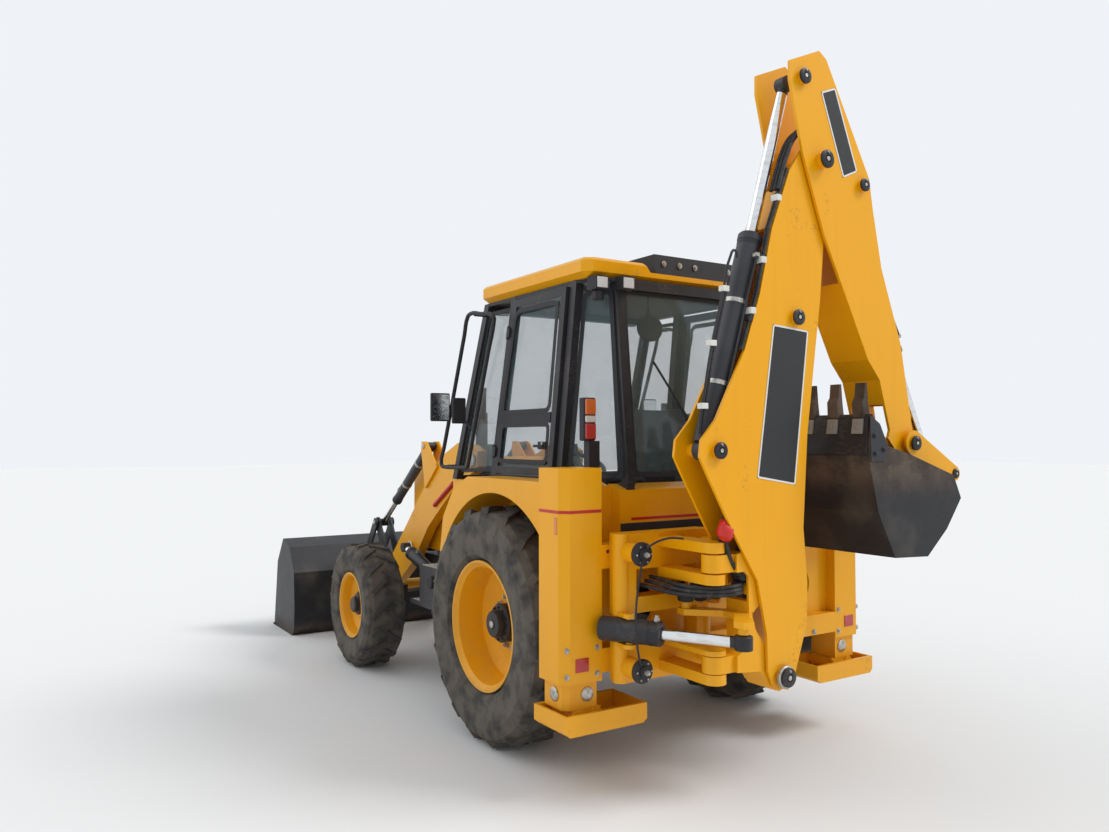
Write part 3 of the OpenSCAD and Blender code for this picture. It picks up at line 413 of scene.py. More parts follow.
class Shape:
    """Mesh under construction, in metres; each of its methods can follow another."""

    def __init__(self):
        self.bm = bmesh.new()

    def block(self, low, high):
        """Box between two corners."""
        low, high = Vector(low), Vector(high)
        size = [abs(a - b) for a, b in zip(low, high)]
        bmesh.ops.create_cube(self.bm, size=1,
                              matrix=Matrix.Translation((low + high) / 2) @ Matrix.Diagonal((*size, 1)))
        return self

    def blocks(self, place, *rows):
        """Boxes from rows of two corners, as six measures of a place function."""
        for row in rows:
            self.block(place(*row[:3]), place(*row[3:]))
        return self

    def rod(self, start, end, radius, sides=24, end_radius=None):
        """Cylinder or cone between two points."""
        start, end = Vector(start), Vector(end)
        bmesh.ops.create_cone(self.bm, cap_ends=True, segments=sides, radius1=radius,
                              radius2=radius if end_radius is None else end_radius, depth=(end - start).length,
                              matrix=Matrix.Translation((start + end) / 2) @ turn_to(end - start))
        return self

    def rods(self, place, *rows):
        """Rods from rows of two ends, as six measures of a place function, and the rest of a rod's values."""
        for row in rows:
            self.rod(place(*row[:3]), place(*row[3:6]), *row[6:])
        return self

    def lathe(self, profile, centre, axis, steps=48):
        """Surface turned about an axis from pairs of radius and distance along it."""
        place = Matrix.Translation(centre) @ turn_to(axis)
        verts = [self.bm.verts.new(place @ Vector((r, 0, h))) for r, h in profile]
        edges = [self.bm.edges.new(pair) for pair in zip(verts, verts[1:])]
        bmesh.ops.spin(self.bm, geom=verts + edges, cent=centre, axis=Vector(axis), angle=math.tau, steps=steps,
                       use_merge=True)
        return self

    def plate(self, outline, shift):
        """Flat plate: an outline of points, thickened by a shift."""
        face = self.bm.faces.new([self.bm.verts.new(p) for p in outline])
        shift_new(self.bm, bmesh.ops.extrude_face_region(self.bm, geom=[face]), shift)
        return self

    def ribbon(self, path, rise, thickness):
        """Thin strip that stands on a path."""
        low = [self.bm.verts.new(p) for p in path]
        edges = [self.bm.edges.new(pair) for pair in zip(low, low[1:])]
        shift_new(self.bm, bmesh.ops.extrude_edge_only(self.bm, edges=edges), rise)
        bmesh.ops.recalc_face_normals(self.bm, faces=self.bm.faces)
        bmesh.ops.solidify(self.bm, geom=self.bm.faces[:], thickness=thickness)
        return self

    def nut(self, point, axis, radius, height):
        """Hexagon nut on a washer, with the end of its stud."""
        point, axis = Vector(point), Vector(axis).normalized()
        self.rod(point, point + axis * height * 0.2, radius * 1.45, 16)
        self.rod(point, point + axis * height * 0.8, radius, 6)
        return self.rod(point, point + axis * height, radius * 0.5, 10)

    def ring(self, centre, axis, ring_r, count, radius, height):
        """Nuts set evenly round a circle."""
        turned = turn_to(axis)
        for i in range(count):
            angle = math.tau * i / count
            spot = turned @ Vector((ring_r * math.cos(angle), ring_r * math.sin(angle), 0))
            self.nut(centre + spot, axis, radius, height)
        return self

    def seal(self, corners, width, radius, depth):
        """Flat ring with rounded corners, as a window's seal."""
        part = bmesh.new()
        part.faces.new([part.verts.new(c) for c in corners])
        bmesh.ops.bevel(part, geom=part.verts[:], offset=radius, segments=5, profile=0.5, affect="VERTICES",
                        material=-1)
        ring = bmesh.ops.inset_region(part, faces=part.faces[:], thickness=width, use_boundary=True,
                                      use_even_offset=True)["faces"]
        bmesh.ops.delete(part, geom=[f for f in part.faces if f not in ring], context="FACES")
        shift_new(part, bmesh.ops.extrude_face_region(part, geom=part.faces[:]), depth)
        draft = bpy.data.meshes.new("draft")
        part.to_mesh(draft)
        part.free()
        self.bm.from_mesh(draft)
        bpy.data.meshes.remove(draft)
        return self

    def done(self, name, material, body="chassis", bevel=0.0, smooth=True):
        """Object of the mesh, riding on a body."""
        bmesh.ops.remove_doubles(self.bm, verts=self.bm.verts, dist=WELD)
        bmesh.ops.recalc_face_normals(self.bm, faces=self.bm.faces)
        mesh = bpy.data.meshes.new(name)
        self.bm.to_mesh(mesh)
        self.bm.free()
        piece = link(name, mesh)
        mesh.materials.append(material)
        if smooth:
            mesh.shade_smooth()
            mesh.set_sharp_from_angle(angle=SHARP)
        if bevel:
            rounding = piece.modifiers.new("Rounding", "BEVEL")
            rounding.width = bevel
            rounding.segments = 2
            rounding.limit_method = "ANGLE"
            rounding.angle_limit = ROUNDED
        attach(piece, body)
        return piece


def tube(name, points, radius, material, body=None, resolution=6):
    """Smooth hose or pipe through points, made a mesh."""
    curve = bpy.data.curves.new(name, "CURVE")
    curve.dimensions = "3D"
    curve.bevel_depth = radius
    curve.bevel_resolution = 3
    curve.use_fill_caps = True
    curve.resolution_u = resolution
    spline = curve.splines.new("BEZIER")
    spline.bezier_points.add(len(points) - 1)
    for knot, point in zip(spline.bezier_points, points):
        knot.co = point
        knot.handle_left_type = knot.handle_right_type = "AUTO"
    draft = link(name + "_draft", curve)
    bpy.context.view_layer.update()
    mesh = bpy.data.meshes.new_from_object(draft.evaluated_get(bpy.context.evaluated_depsgraph_get()))
    bpy.data.objects.remove(draft)
    mesh.name = name
    mesh.materials.clear()
    mesh.materials.append(material)
    mesh.shade_smooth()
    piece = link(name, mesh)
    if body:
        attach(piece, body)
    return piece


def pad(name, low, high, up, fabric):
    """Crowned cushion between two corners, with a sewn border and channels; its rest side stays flat."""
    shape = Shape().block(low, high)
    bmesh.ops.subdivide_edges(shape.bm, edges=shape.bm.edges[:], cuts=23, use_grid_fill=True)
    low, high = Vector(map(min, low, high)), Vector(map(max, low, high))
    middle, half = (low + high) / 2, (high - low) / 2
    flat = [a for a in range(3) if a != up]
    for vert in shape.bm.verts:
        share = Vector([(vert.co[a] - middle[a]) / half[a] for a in range(3)])
        a, b = (share[i] for i in flat)
        rim = max(abs(a), abs(b))
        crown = (1 - abs(a) ** 4) * (1 - abs(b) ** 4)
        channel = math.exp(-((abs(b) - 0.45) / 0.04) ** 2) + math.exp(-((rim - 0.84) / 0.035) ** 2)
        lift = crown - 0.22 * channel * (rim < 0.95)
        if share[up] > 0:
            vert.co[up] = middle[up] + half[up] * (0.62 + 0.38 * lift) * share[up]
        for i, other in zip(flat, reversed(flat)):
            pull = 0.045 * (1 - share[other] ** 2) * abs(share[i]) ** 3
            vert.co[i] = middle[i] + half[i] * share[i] * (1 - pull)
    piece = shape.done(name, fabric)
    round_off = piece.modifiers.new("Round", "SUBSURF")
    round_off.levels = round_off.render_levels = 1
    return piece


class PaintSettings(PropertyGroup):
    """Colours and wear of the machine's finishes."""
    body_colour: FloatVectorProperty(
        name="Body colour", description="Paint of the body and the arms", subtype="COLOR", size=3,
        min=0, max=1, default=(0.86, 0.385, 0.001))
    dark_colour: FloatVectorProperty(
        name="Frame colour", description="Paint of the frame, rams and cab posts", subtype="COLOR",
        size=3, min=0, max=1, default=(0.021, 0.021, 0.024))
    dust_colour: FloatVectorProperty(
        name="Dust colour", description="Dried dust on level and low faces", subtype="COLOR", size=3,
        min=0, max=1, default=(0.30, 0.25, 0.185))
    dust: FloatProperty(
        name="Dust", description="How much dust lies on the machine", subtype="FACTOR", min=0, max=1,
        default=0.16)
    wear: FloatProperty(
        name="Wear", description="How much paint is chipped and scuffed", subtype="FACTOR", min=0, max=1,
        default=0.2)


class FittingSettings(PropertyGroup):
    """Sizes of the small fittings."""
    nut_radius: FloatProperty(
        name="Wheel nut radius", description="Half the width of a rear wheel nut", unit="LENGTH", min=0.005,
        max=0.03, default=0.014)
    hose_radius: FloatProperty(
        name="Hose radius", description="Half the thickness of a ram's hose", unit="LENGTH", min=0.004,
        max=0.02, default=0.0105)
    wheel_nuts: IntProperty(
        name="Rear wheel nuts", description="Number of nuts on a rear wheel", min=6, max=12, default=10)


class StageSettings(PropertyGroup):
    """Floor, light and sky round the machine."""
    floor_colour: FloatVectorProperty(
        name="Floor colour", description="Colour of the floor", subtype="COLOR", size=3, min=0, max=1,
        default=(0.80, 0.80, 0.79))
    sun: FloatProperty(
        name="Sun strength", description="Strength of the soft sun", min=0, max=5, default=1.5)
    sky: FloatProperty(
        name="Sky strength", description="Strength of the even sky light", min=0, max=2, default=0.72)


class LayStage(Operator):
    """Adds the camera, the floor, the sky and the lamps"""
    bl_idname = "loader.lay_stage"
    bl_label = "Stage"

    def execute(self, context):
        stage, scene = context.scene.loader_stage, context.scene
        ahead = Vector((math.cos(PITCH) * math.cos(YAW), math.cos(PITCH) * math.sin(YAW), math.sin(PITCH)))
        right = Vector((math.sin(YAW), -math.cos(YAW), 0))
        up = right.cross(ahead)
        level = right * math.cos(ROLL) + up * math.sin(ROLL)
        rise = up * math.cos(ROLL) - right * math.sin(ROLL)
        optics = bpy.data.cameras.new("PhotoCamera")
        optics.sensor_width = SENSOR
        optics.lens = FOCAL_PIXELS / WIDE_PIXELS * SENSOR
        optics.clip_end = CLIP_END
        scene.camera = link("PhotoCamera", optics)
        turned = Matrix((level, rise, -ahead)).transposed().to_4x4()
        scene.camera.matrix_world = Matrix.Translation(EYE) @ turned

        bm = bmesh.new()
        bmesh.ops.create_grid(bm, x_segments=2, y_segments=2, size=FLOOR_HALF)
        mesh = bpy.data.meshes.new("Floor")
        bm.to_mesh(mesh)
        bm.free()
        mesh.materials.append(finish(backdrop, tuple(stage.floor_colour)))
        link("Floor", mesh)

        for name, strength, angle, turn in (("Sun", stage.sun, 0.35, (0.75, 0.25, -0.95)),
                                            ("Fill", stage.sun * 0.35, 0.9, (1.0, 0.0, 2.4))):
            lamp = bpy.data.lights.new(name, "SUN")
            lamp.energy = strength
            lamp.angle = angle
            link(name, lamp).rotation_euler = turn

        scene.world = bpy.data.worlds.new("Sky")
        scene.world.use_nodes = True
        sky = Graph(scene.world.node_tree)
        seen = sky.node("ShaderNodeLightPath", out="Is Camera Ray")
        for ray in ("Is Glossy Ray", "Is Transmission Ray"):
            seen = seen + sky.node("ShaderNodeLightPath", out=ray)
        strength = sky.node("ShaderNodeMapRange", {},
                            {"Value": seen, "To Min": stage.sky, "To Max": BACKGROUND})
        shader = sky.tree.nodes["Background"]
        sky.feed(shader.inputs["Strength"], strength)
        sky.feed(shader.inputs["Color"], (0.93, 0.96, 1.0))
        scene.view_settings.view_transform = "Standard"
        return {"FINISHED"}


class FinishNodes(Operator):
    """Gives each solid of the frame its own worn finish"""
    bl_idname = "loader.finish_nodes"
    bl_label = "Finishes"

    def execute(self, context):
        amber, black, plastic = finish(body_paint), finish(black_paint), finish(dark_plastic)
        chosen = {
            "engine_block": finish(iron), "exhaust": finish(exhaust_metal), "seat": finish(cloth),
            "side_steps": finish(black_paint, 1.6), "shovel": finish(worn_steel, 0.14, 0.02, 0.6),
            "bucket": finish(worn_steel, 1.42, 1.66, 0.85)}
        chosen |= dict.fromkeys(("cab_glass", "door_glass_left", "door_glass_right"), finish(pane))
        chosen |= dict.fromkeys(("lamps", "controls", "air_hood", "mirrors", "grille"), plastic)
        chosen |= dict.fromkeys(("bonnet", "cab_body", "cab_roof", "loader_arms", "rear_frame", "carriage",
                                 "kingpost", "boom", "dipper", "bucket_lever", "stab_leg_left",
                                 "stab_leg_right"), amber)
        chosen |= dict.fromkeys(("lift_barrels", "tilt_barrels", "slew_barrel_left", "slew_barrel_right",
                                 "boom_barrel", "dipper_barrel", "bucket_barrel"), finish(black_paint, 1.5))
        # Rods: the middle of the eye, and the axes across its pin
        for name, eye, flat in (("lift_rods", at(2370, 0, 870), (1, 0, 1)),
                                ("tilt_rods", at(3100, 0, 1020), (1, 0, 1)),
                                ("boom_rod", digger(478, 0, 2388), (0, 1, 1)),
                                ("dipper_rod", digger(515, 0, 3618), (0, 1, 1)),
                                ("bucket_rod", digger(1712, 0, 1575), (0, 1, 1)),
                                ("slew_rod_left", at(-1600, 540, 830), (1, 1, 0)),
                                ("slew_rod_right", at(-1200, 540, 1000), (1, 1, 0))):
            chosen[name] = finish(chrome, tuple(eye), flat)
        chosen["boom_hoses"] = finish(hose_rubber)
        for end, (x, y, z, rim_r, hub_r) in WHEELS.items():
            for side, sign in SIDES:
                centre = tuple(at(x, sign * y, z))
                chosen[f"{end}_tyre_{side}"] = finish(tyre_rubber, centre, rim_r, z / 1000)
                chosen[f"{end}_rim_{side}"] = finish(rim_paint, centre, rim_r, hub_r)
        for name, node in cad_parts.items():
            node.data.materials.clear()
            node.data.materials.append(chosen.get(name, black))
        return {"FINISHED"}


class AddWheelFittings(Operator):
    """Adds hubs and nuts to the four wheels"""
    bl_idname = "loader.add_wheel_fittings"
    bl_label = "Wheel fittings"

    def execute(self, context):
        sizes = context.scene.loader_fittings
        black, metal = finish(black_paint, 0.8), finish(zinc)
        rear_hub = ((0.113, 0), (0.113, 0.078), (0.106, 0.087), (0.080, 0.089), (0.080, 0.118), (0.072, 0.131),
                    (0.030, 0.133), (0.028, 0.137), (0, 0.137))
        front_hub = ((0.083, 0), (0.083, 0.050), (0.076, 0.058), (0.060, 0.060), (0.060, 0.084), (0.050, 0.092),
                     (0, 0.094))
        for side, sign in SIDES:
            out, spot = Y * sign, on_side(sign)
            # Middle of the wheel's face, hub's profile, and the nuts' circle, number, radius and height
            for end, face, profile, circle in (
                    ("rear", (0, 859, 690), rear_hub, (0.152, sizes.wheel_nuts, sizes.nut_radius, 0.034)),
                    ("front", (2170, 969, 476), front_hub, (0.108, 8, sizes.nut_radius * 0.85, 0.030))):
                hub = Shape().lathe(profile, spot(*face), out)
                nuts = Shape().ring(spot(*face), out, *circle)
                if end == "rear":
                    hub.ring(spot(0, 946, 690), out, 0.094, 12, 0.006, 0.012)
                    nuts.rods(spot, (0, 992, 690, 0, 999, 690, 0.024, 20, 0.020))
                hub.done(f"{end}_hub_{side}", black, f"{end}_wheel_{side}")
                nuts.done(f"{end}_nuts_{side}", metal, f"{end}_wheel_{side}")
        return {"FINISHED"}


class AddPinEnds(Operator):
    """Adds caps, studs and greasers to the ends of the pins"""
    bl_idname = "loader.add_pin_ends"
    bl_label = "Pin ends"

    def execute(self, context):
        metal = finish(zinc)
        rings = Shape()
        for way in (-1, 1):
            rings.lathe([(0.040, 0.0), (0.041, 0.008), (0.052, 0.008), (0.056, 0.003), (0.056, -0.012),
                         (0.040, -0.012)], digger(360, way * 128, 605), X * way, 36)
        rings.done("foot_pin_rings", metal, "boom")
        # Profiles of the caps: metres of radius for each mm of the pin's, and metres along the pin
        digger_cap = ((0.00105, -0.006), (0.00118, -0.002), (0.00118, 0.007), (0.0009, 0.011), (0.0005, 0.011),
                      (0.00045, 0.004), (0, 0.004))
        loader_cap = ((0.00105, -0.006), (0.00112, 0.0), (0.0010, 0.008), (0.0006, 0.010), (0.0003, 0.014),
                      (0, 0.014))
        digger_pins = (  # body, place, height, how far out the pin ends, radius
            ("boom", 360, 605, 140, 40), ("boom", 478, 2388, 120, 34), ("boom", -60, 1720, 120, 34),
            ("dipper", 650, 3210, 164, 40), ("dipper", 1340, 1750, 174, 34), ("dipper", 515, 3618, 144, 34),
            ("dipper", 970, 3130, 144, 30), ("bucket", 1580, 1530, 148, 30),
            ("bucket_lever", 1712, 1575, 164, 24))
        for number, (body, u, z, reach, r) in enumerate(digger_pins):
            caps, studs = Shape(), Shape()
            for way in (-1, 1):
                end, out = digger(u, way * reach, z), X * way
                caps.lathe([(r * a, h) for a, h in digger_cap], end, out, 32)
                studs.rod(end, end + out * 0.012, r * 0.0003, 12)
                studs.nut(end + Vector((0, 0, r * 0.0008)) + out * 0.009, out, 0.006, 0.008)
            caps.done(f"pin_caps_{number}", finish(black_paint, 0.8), body)
            studs.done(f"pin_studs_{number}", metal, body)
        loader_pins = (  # body, middle of the pin's face, radius
            ("loader_arms", 2370, 488, 870, 46), ("loader_arms", 2820, 496, 610, 34),
            ("loader_arms", 2090, 490, 1720, 20), ("chassis", 1250, 482, 1620, 45),
            ("chassis", 1100, 560, 500, 32), ("tilt_levers", 3100, 522, 1020, 20),
            ("shovel", 3330, 542, 285, 30), ("shovel", 3390, 552, 620, 25))
        for number, (body, x, y, z, r) in enumerate(loader_pins):
            caps = Shape()
            for _, sign in SIDES:
                caps.lathe([(r * a, h) for a, h in loader_cap], at(x, sign * y, z), Y * sign, 32)
            caps.done(f"loader_pin_caps_{number}", metal, body)
        return {"FINISHED"}


class AddRamFittings(Operator):
    """Adds glands, ports, pipes and straps to the rams"""
    bl_idname = "loader.add_ram_fittings"
    bl_label = "Ram fittings"

    def execute(self, context):
        black, metal = finish(black_paint, 1.0), finish(zinc)
        # Body, foot and rod end as points, the ports' side, barrel's length, its radius and its rod's
        rams = [("boom_barrel", digger(190, 0, 1040), digger(478, 0, 2388), -X, 1180, 58, 30),
                ("dipper_barrel", digger(-60, 0, 1720), digger(515, 0, 3618), -X, 1120, 58, 30),
                ("bucket_barrel", digger(970, 0, 3130), digger(1712, 0, 1575), -X, 960, 50, 26)]
        rams += [("lift_barrels", at(1100, y, 500), at(2370, y, 870), Z, 1200, 50, 28) for y in (-526, 526)]
        rams += [("slew_barrel_left", at(-1100, 820, 830), at(-1600, 540, 830), Z, 160, 60, 28),
                 ("slew_barrel_right", at(-1100, 260, 1000), at(-1200, 540, 1000), Z, 120, 60, 28)]
        rams += [("tilt_barrels", at(2090, y, 1720), at(3100, y, 1020), Z, 850, 40, 24) for y in (-430, 430)]
        for number, (body, foot, tip, side, length, r, rod_r) in enumerate(rams):
            r, rod_r = r / 1000, rod_r / 1000
            along = (tip - foot).normalized()
            long = min(length / 1000, (tip - foot).length - EYE_ROOM)
            side = (side - along * side.dot(along)).normalized()
            collar = Shape().lathe([(rod_r + 0.002, 0.004), (rod_r + 0.004, 0.012), (r * 0.9, 0.012),
                                    (r * 1.03, 0.004), (r * 1.03, -0.05), (r * 0.98, -0.055)],
                                   foot + along * long, along, 40)
            collar.done(f"ram_collar_{number}", black, body)
            ports = Shape()
            for share in (0.12, 0.9):
                low = foot + along * long * share + side * (r - 0.004)
                ports.rod(low, low + side * 0.022, 0.015, 6)
                ports.rod(low + side * 0.022, low + side * 0.034, 0.011, 12)
            ports.done(f"ram_ports_{number}", metal, body)
            if body.startswith("slew"):
                eye = Shape().lathe([(0, -0.0335), (0.040, -0.0335), (0.0435, -0.029), (0.0435, 0.029),
                                     (0.040, 0.0335), (0, 0.0335)], tip, Z, 36)
                eye.done(body.replace("barrel", "eye"), finish(black_paint, 0.8), body.replace("barrel", "rod"))
                continue
            ends = [foot + along * long * s + side * (r + 0.024) for s in (0.12, 0.2, 0.5, 0.82, 0.9)]
            ends[1:4] = [p - side * 0.006 for p in ends[1:4]]
            tube(f"ram_pipe_{number}", ends, 0.0065, black, body)
            straps = Shape()
            for share in (0.3, 0.68):
                straps.lathe([(r + 0.0005, -0.012), (r + 0.0035, -0.011), (r + 0.0035, 0.011),
                              (r + 0.0005, 0.012)], foot + along * long * share, along, 32)
            straps.done(f"ram_straps_{number}", metal, body)
        return {"FINISHED"}


class AddDiggerTrim(Operator):
    """Adds blank plates, clips, the lock's knob and the bucket's wear parts"""
    bl_idname = "loader.add_digger_trim"
    bl_label = "Digging arm trim"

    def execute(self, context):
        dark, pale = finish(plain, (0.012, 0.012, 0.013), 0.35), finish(plain, (0.75, 0.74, 0.70), 0.4)
        for name, body, reach, corners in (
                ("boom_plate", "boom", 100, ((316, 2344), (568, 2326), (462, 1543), (197, 1585))),
                ("dipper_plate", "dipper", 124, ((656, 3572), (765, 3616), (934, 3199), (820, 3149)))):
            for way, side in ((-1, "left"), (1, "right")):
                thick = X * way * 0.0012
                Shape().plate(arm(way * reach, *corners), thick).done(f"{name}_{side}", dark, body)
                Shape().seal(arm(way * (reach + 1), *corners), 0.009, 0.012, thick).done(
                    f"{name}_line_{side}", pale, body)
        clips = Shape()
        for u, z in ((180, 2402), (256, 2660), (365, 2985)):
            clips.blocks(digger, (u - 18, -104, z - 16, u + 18, -60, z + 16))
        clips.done("boom_clips", finish(plain, CLIP_WHITE, 0.45), "boom", bevel=0.003)
        knob = Shape().lathe([(0, -0.05), (0.022, -0.046), (0.040, -0.02), (0.044, 0.01), (0.030, 0.035),
                              (0.016, 0.05), (0.014, 0.068), (0, 0.07)], digger(22, -62, 1330),
                             Vector((-0.2, 0.5, 0.8)).normalized(), 28)
        knob.done("boom_lock_knob", finish(plain, (0.62, 0.018, 0.012), 0.3), "boom")
        adaptors, caps = Shape(), Shape()
        for v in (-240, -80, 80, 240):
            adaptors.plate(arm(v - 32, (769, 1876), (757, 1800), (768, 1800), (782, 1876)), X * 0.064)
            adaptors.nut(digger(762, v, 1838), Y, 0.012, 0.012)
            caps.plate(arm(v - 34, (772, 1880), (768, 1965), (786, 1990), (812, 1965), (824, 1880)), X * 0.068)
        adaptors.done("bucket_adaptors", finish(plain, (0.26, 0.235, 0.20), 0.45), "bucket", bevel=0.004)
        caps.done("bucket_tooth_caps", finish(worn_steel, 1.0, 1.2, 1.0), "bucket", bevel=0.004)
        Shape().plate(arm(-300, (786, 1890), (766, 1692), (759, 1694), (779, 1890)), X * 0.6).done(
            "bucket_lip", finish(black_paint, 1.1), "bucket", bevel=0.001)
        cutters = Shape()
        for v, face, out in ((-318, -318, -X), (316, 318, X)):
            cutters.plate(arm(v, (775, 1660), (768, 1895), (845, 1850), (905, 1740), (880, 1660)), X * 0.004)
            for u, z in ((805, 1700), (800, 1790), (870, 1720)):
                cutters.nut(digger(u, face, z), out, 0.011, 0.012)
        cutters.done("bucket_side_cutters", finish(black_paint, 1.4), "bucket", bevel=0.002)
        return {"FINISHED"}


class AddHoses(Operator):
    """Adds the hoses that cross the joints of the digging arm"""
    bl_idname = "loader.add_hoses"
    bl_label = "Hoses"

    def execute(self, context):
        r, rubber = context.scene.loader_fittings.hose_radius, finish(hose_rubber)
        for i in range(5):
            z, bow = 1030 + 18 * (i % 3), 12 * i
            hose = tube(f"slew_hose_{i}", [
                at(-1040, 700 - 30 * i, z + 8), at(-1130, 694 - 28 * i, z + 4),
                at(-1235 - bow, 672 - 18 * i, z - 6), at(-1345 - bow, 610 - 14 * i, z - 10),
                at(-1440 - bow / 2, 500 - 8 * i, z - 4), at(-1458, 430, z), at(-1440, 392, z)], r, rubber,
                resolution=10)
            at(-1160, 680, z)
            at(-1440, 470, z)
            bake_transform(hose)
        for i in range(3):
            v = -60 + 22 * i
            hose = tube(f"foot_hose_{i}", arm(v, (110, 1120), (60, 1190), (30, 1290), (62, 1400))
                        + arm(v * 0.8, (118, 1500), (150, 1620)), r, rubber, resolution=10)
            digger(100, v, 1180)
            digger(110, v, 1470)
            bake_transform(hose)
        for i in range(3):
            v = -88 + 24 * i
            hose = tube(f"elbow_hose_{i}", arm(v, (372, 3030), (405, 3125), (440, 3215), (490, 3305),
                                               (566, 3372), (640, 3420)), r, rubber, resolution=10)
            digger(430, v, 3170)
            digger(560, v, 3360)
            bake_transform(hose)
        black = finish(black_paint, 1.0)
        tube("barrel_pipe_outer", arm(-64, (-142, 1800), (-128, 1890), (-105, 2010), (-64, 2200), (20, 2500),
                                      (62, 2652), (96, 2694), (112, 2660)), 0.007, black, "dipper_barrel")
        tube("barrel_pipe_inner", arm(-64, (-128, 1790), (-112, 1890), (-88, 2010), (-46, 2200), (22, 2440),
                                      (60, 2560)), 0.007, black, "dipper_barrel")
        clips = Shape()
        for u, z in ((-121, 1931), (-64, 2232), (20, 2500)):
            clips.blocks(digger, (u - 16, -78, z - 14, u + 26, -44, z + 14))
        clips.done("barrel_pipe_clips", finish(plain, CLIP_WHITE, 0.45), "dipper_barrel", bevel=0.003)
        for name, points in (
                ("clamp_cable", ((-1170, 792, 1205), (-1200, 828, 1130), (-1210, 862, 980), (-1205, 858, 820),
                                 (-1190, 826, 700), (-1172, 794, 650))),
                ("clamp_cable_upper", ((-1170, 790, 1220), (-1210, 760, 1262), (-1260, 700, 1292),
                                       (-1300, 640, 1290)))):
            tube(name, [at(*point) for point in points], 0.0055, black, "carriage", resolution=12)
        return {"FINISHED"}


class AddRearTrim(Operator):
    """Adds clamps, stripes, reflectors and bolts to the rear frame"""
    bl_idname = "loader.add_rear_trim"
    bl_label = "Rear trim"

    def execute(self, context):
        black, metal = finish(black_paint, 0.8), finish(zinc)
        red, amber = finish(lens, (0.55, 0.012, 0.01)), finish(lens, (0.80, 0.22, 0.01))
        clamps, studs = Shape(), Shape()
        for y in (290, 790):
            for z in (640, 1210):
                end = at(-1150, y, z)
                clamps.lathe([(0.050, 0.004), (0.060, -0.004), (0.060, -0.020), (0.052, -0.028),
                              (0.030, -0.029), (0.028, -0.038), (0, -0.038)], end, X, 36)
                studs.rod(end - X * 0.036, end - X * 0.056, 0.014, 6)
                studs.rod(end - X * 0.036, end - X * 0.066, 0.009, 16)
                studs.ring(end - X * 0.026, -X, 0.044, 6, 0.0055, 0.008)
        clamps.done("clamp_discs", black, "carriage")
        studs.done("clamp_studs", metal, "carriage")
        for side, sign in SIDES:
            spot = on_side(sign)
            path = [spot(x, y, 1404)
                    for x, y in ((-722, 1110.6), (-903, 1110.6), (-945.6, 1068), (-945.6, 877))]
            Shape().ribbon(path, Z * 0.016, 0.0008).done(
                f"column_stripe_{side}", finish(plain, STRIPE_RED, 0.35), smooth=False)
            Shape().blocks(spot, (-949, 958, 618, -945, 1038, 686)).done(
                f"column_reflector_{side}", red, bevel=0.002)
            Shape().blocks(spot, (-892, 1110, 1300, -866, 1113, 1386)).done(
                f"side_reflector_{side}", amber, bevel=0.001)
            bolts = Shape()
            for x, y in ((-945, 905), (-934, 1080)):
                for z in (600, 730):
                    bolts.nut(spot(x, y, z), -X, 0.011, 0.012)
            bolts.done(f"column_bolts_{side}", metal)
            feet = Shape()
            for centre, axis in ((spot(-924.2, 955, 500), X), (spot(-835, 1089.2, 500), Y * -sign)):
                feet.lathe([(0.034, 0.002), (0.036, -0.006), (0.030, -0.010), (0.010, -0.011), (0.0, -0.007)],
                           centre, axis, 28)
            feet.done(f"foot_discs_{side}", metal, f"stab_leg_{side}")
        Shape().blocks(at, (-781.2, -560, 1336, -780, 560, 1351)).done(
            "body_stripe", finish(plain, STRIPE_RED, 0.35))
        Shape().blocks(at, (-788, -634, 1262, -780, 634, 1322)).done(
            "body_strip", finish(dark_plastic), bevel=0.002)
        plugs, bolts = Shape(), Shape()
        for sign in (-1, 1):
            spot = on_side(sign)
            for y in (812, 842):
                plugs.rods(spot, (-949.3, y, 1205, -951, y, 1205, 0.010, 20))
            for y in (380, 480, 580, 680):
                bolts.nut(spot(-949.5, y, 1220), -X, 0.012, 0.014)
                bolts.nut(spot(-949.5, y, 620), -X, 0.012, 0.014)
        plugs.done("frame_plugs", finish(plain, (0.16, 0.010, 0.008), 0.5))
        bolts.done("frame_bolts", metal)
        return {"FINISHED"}


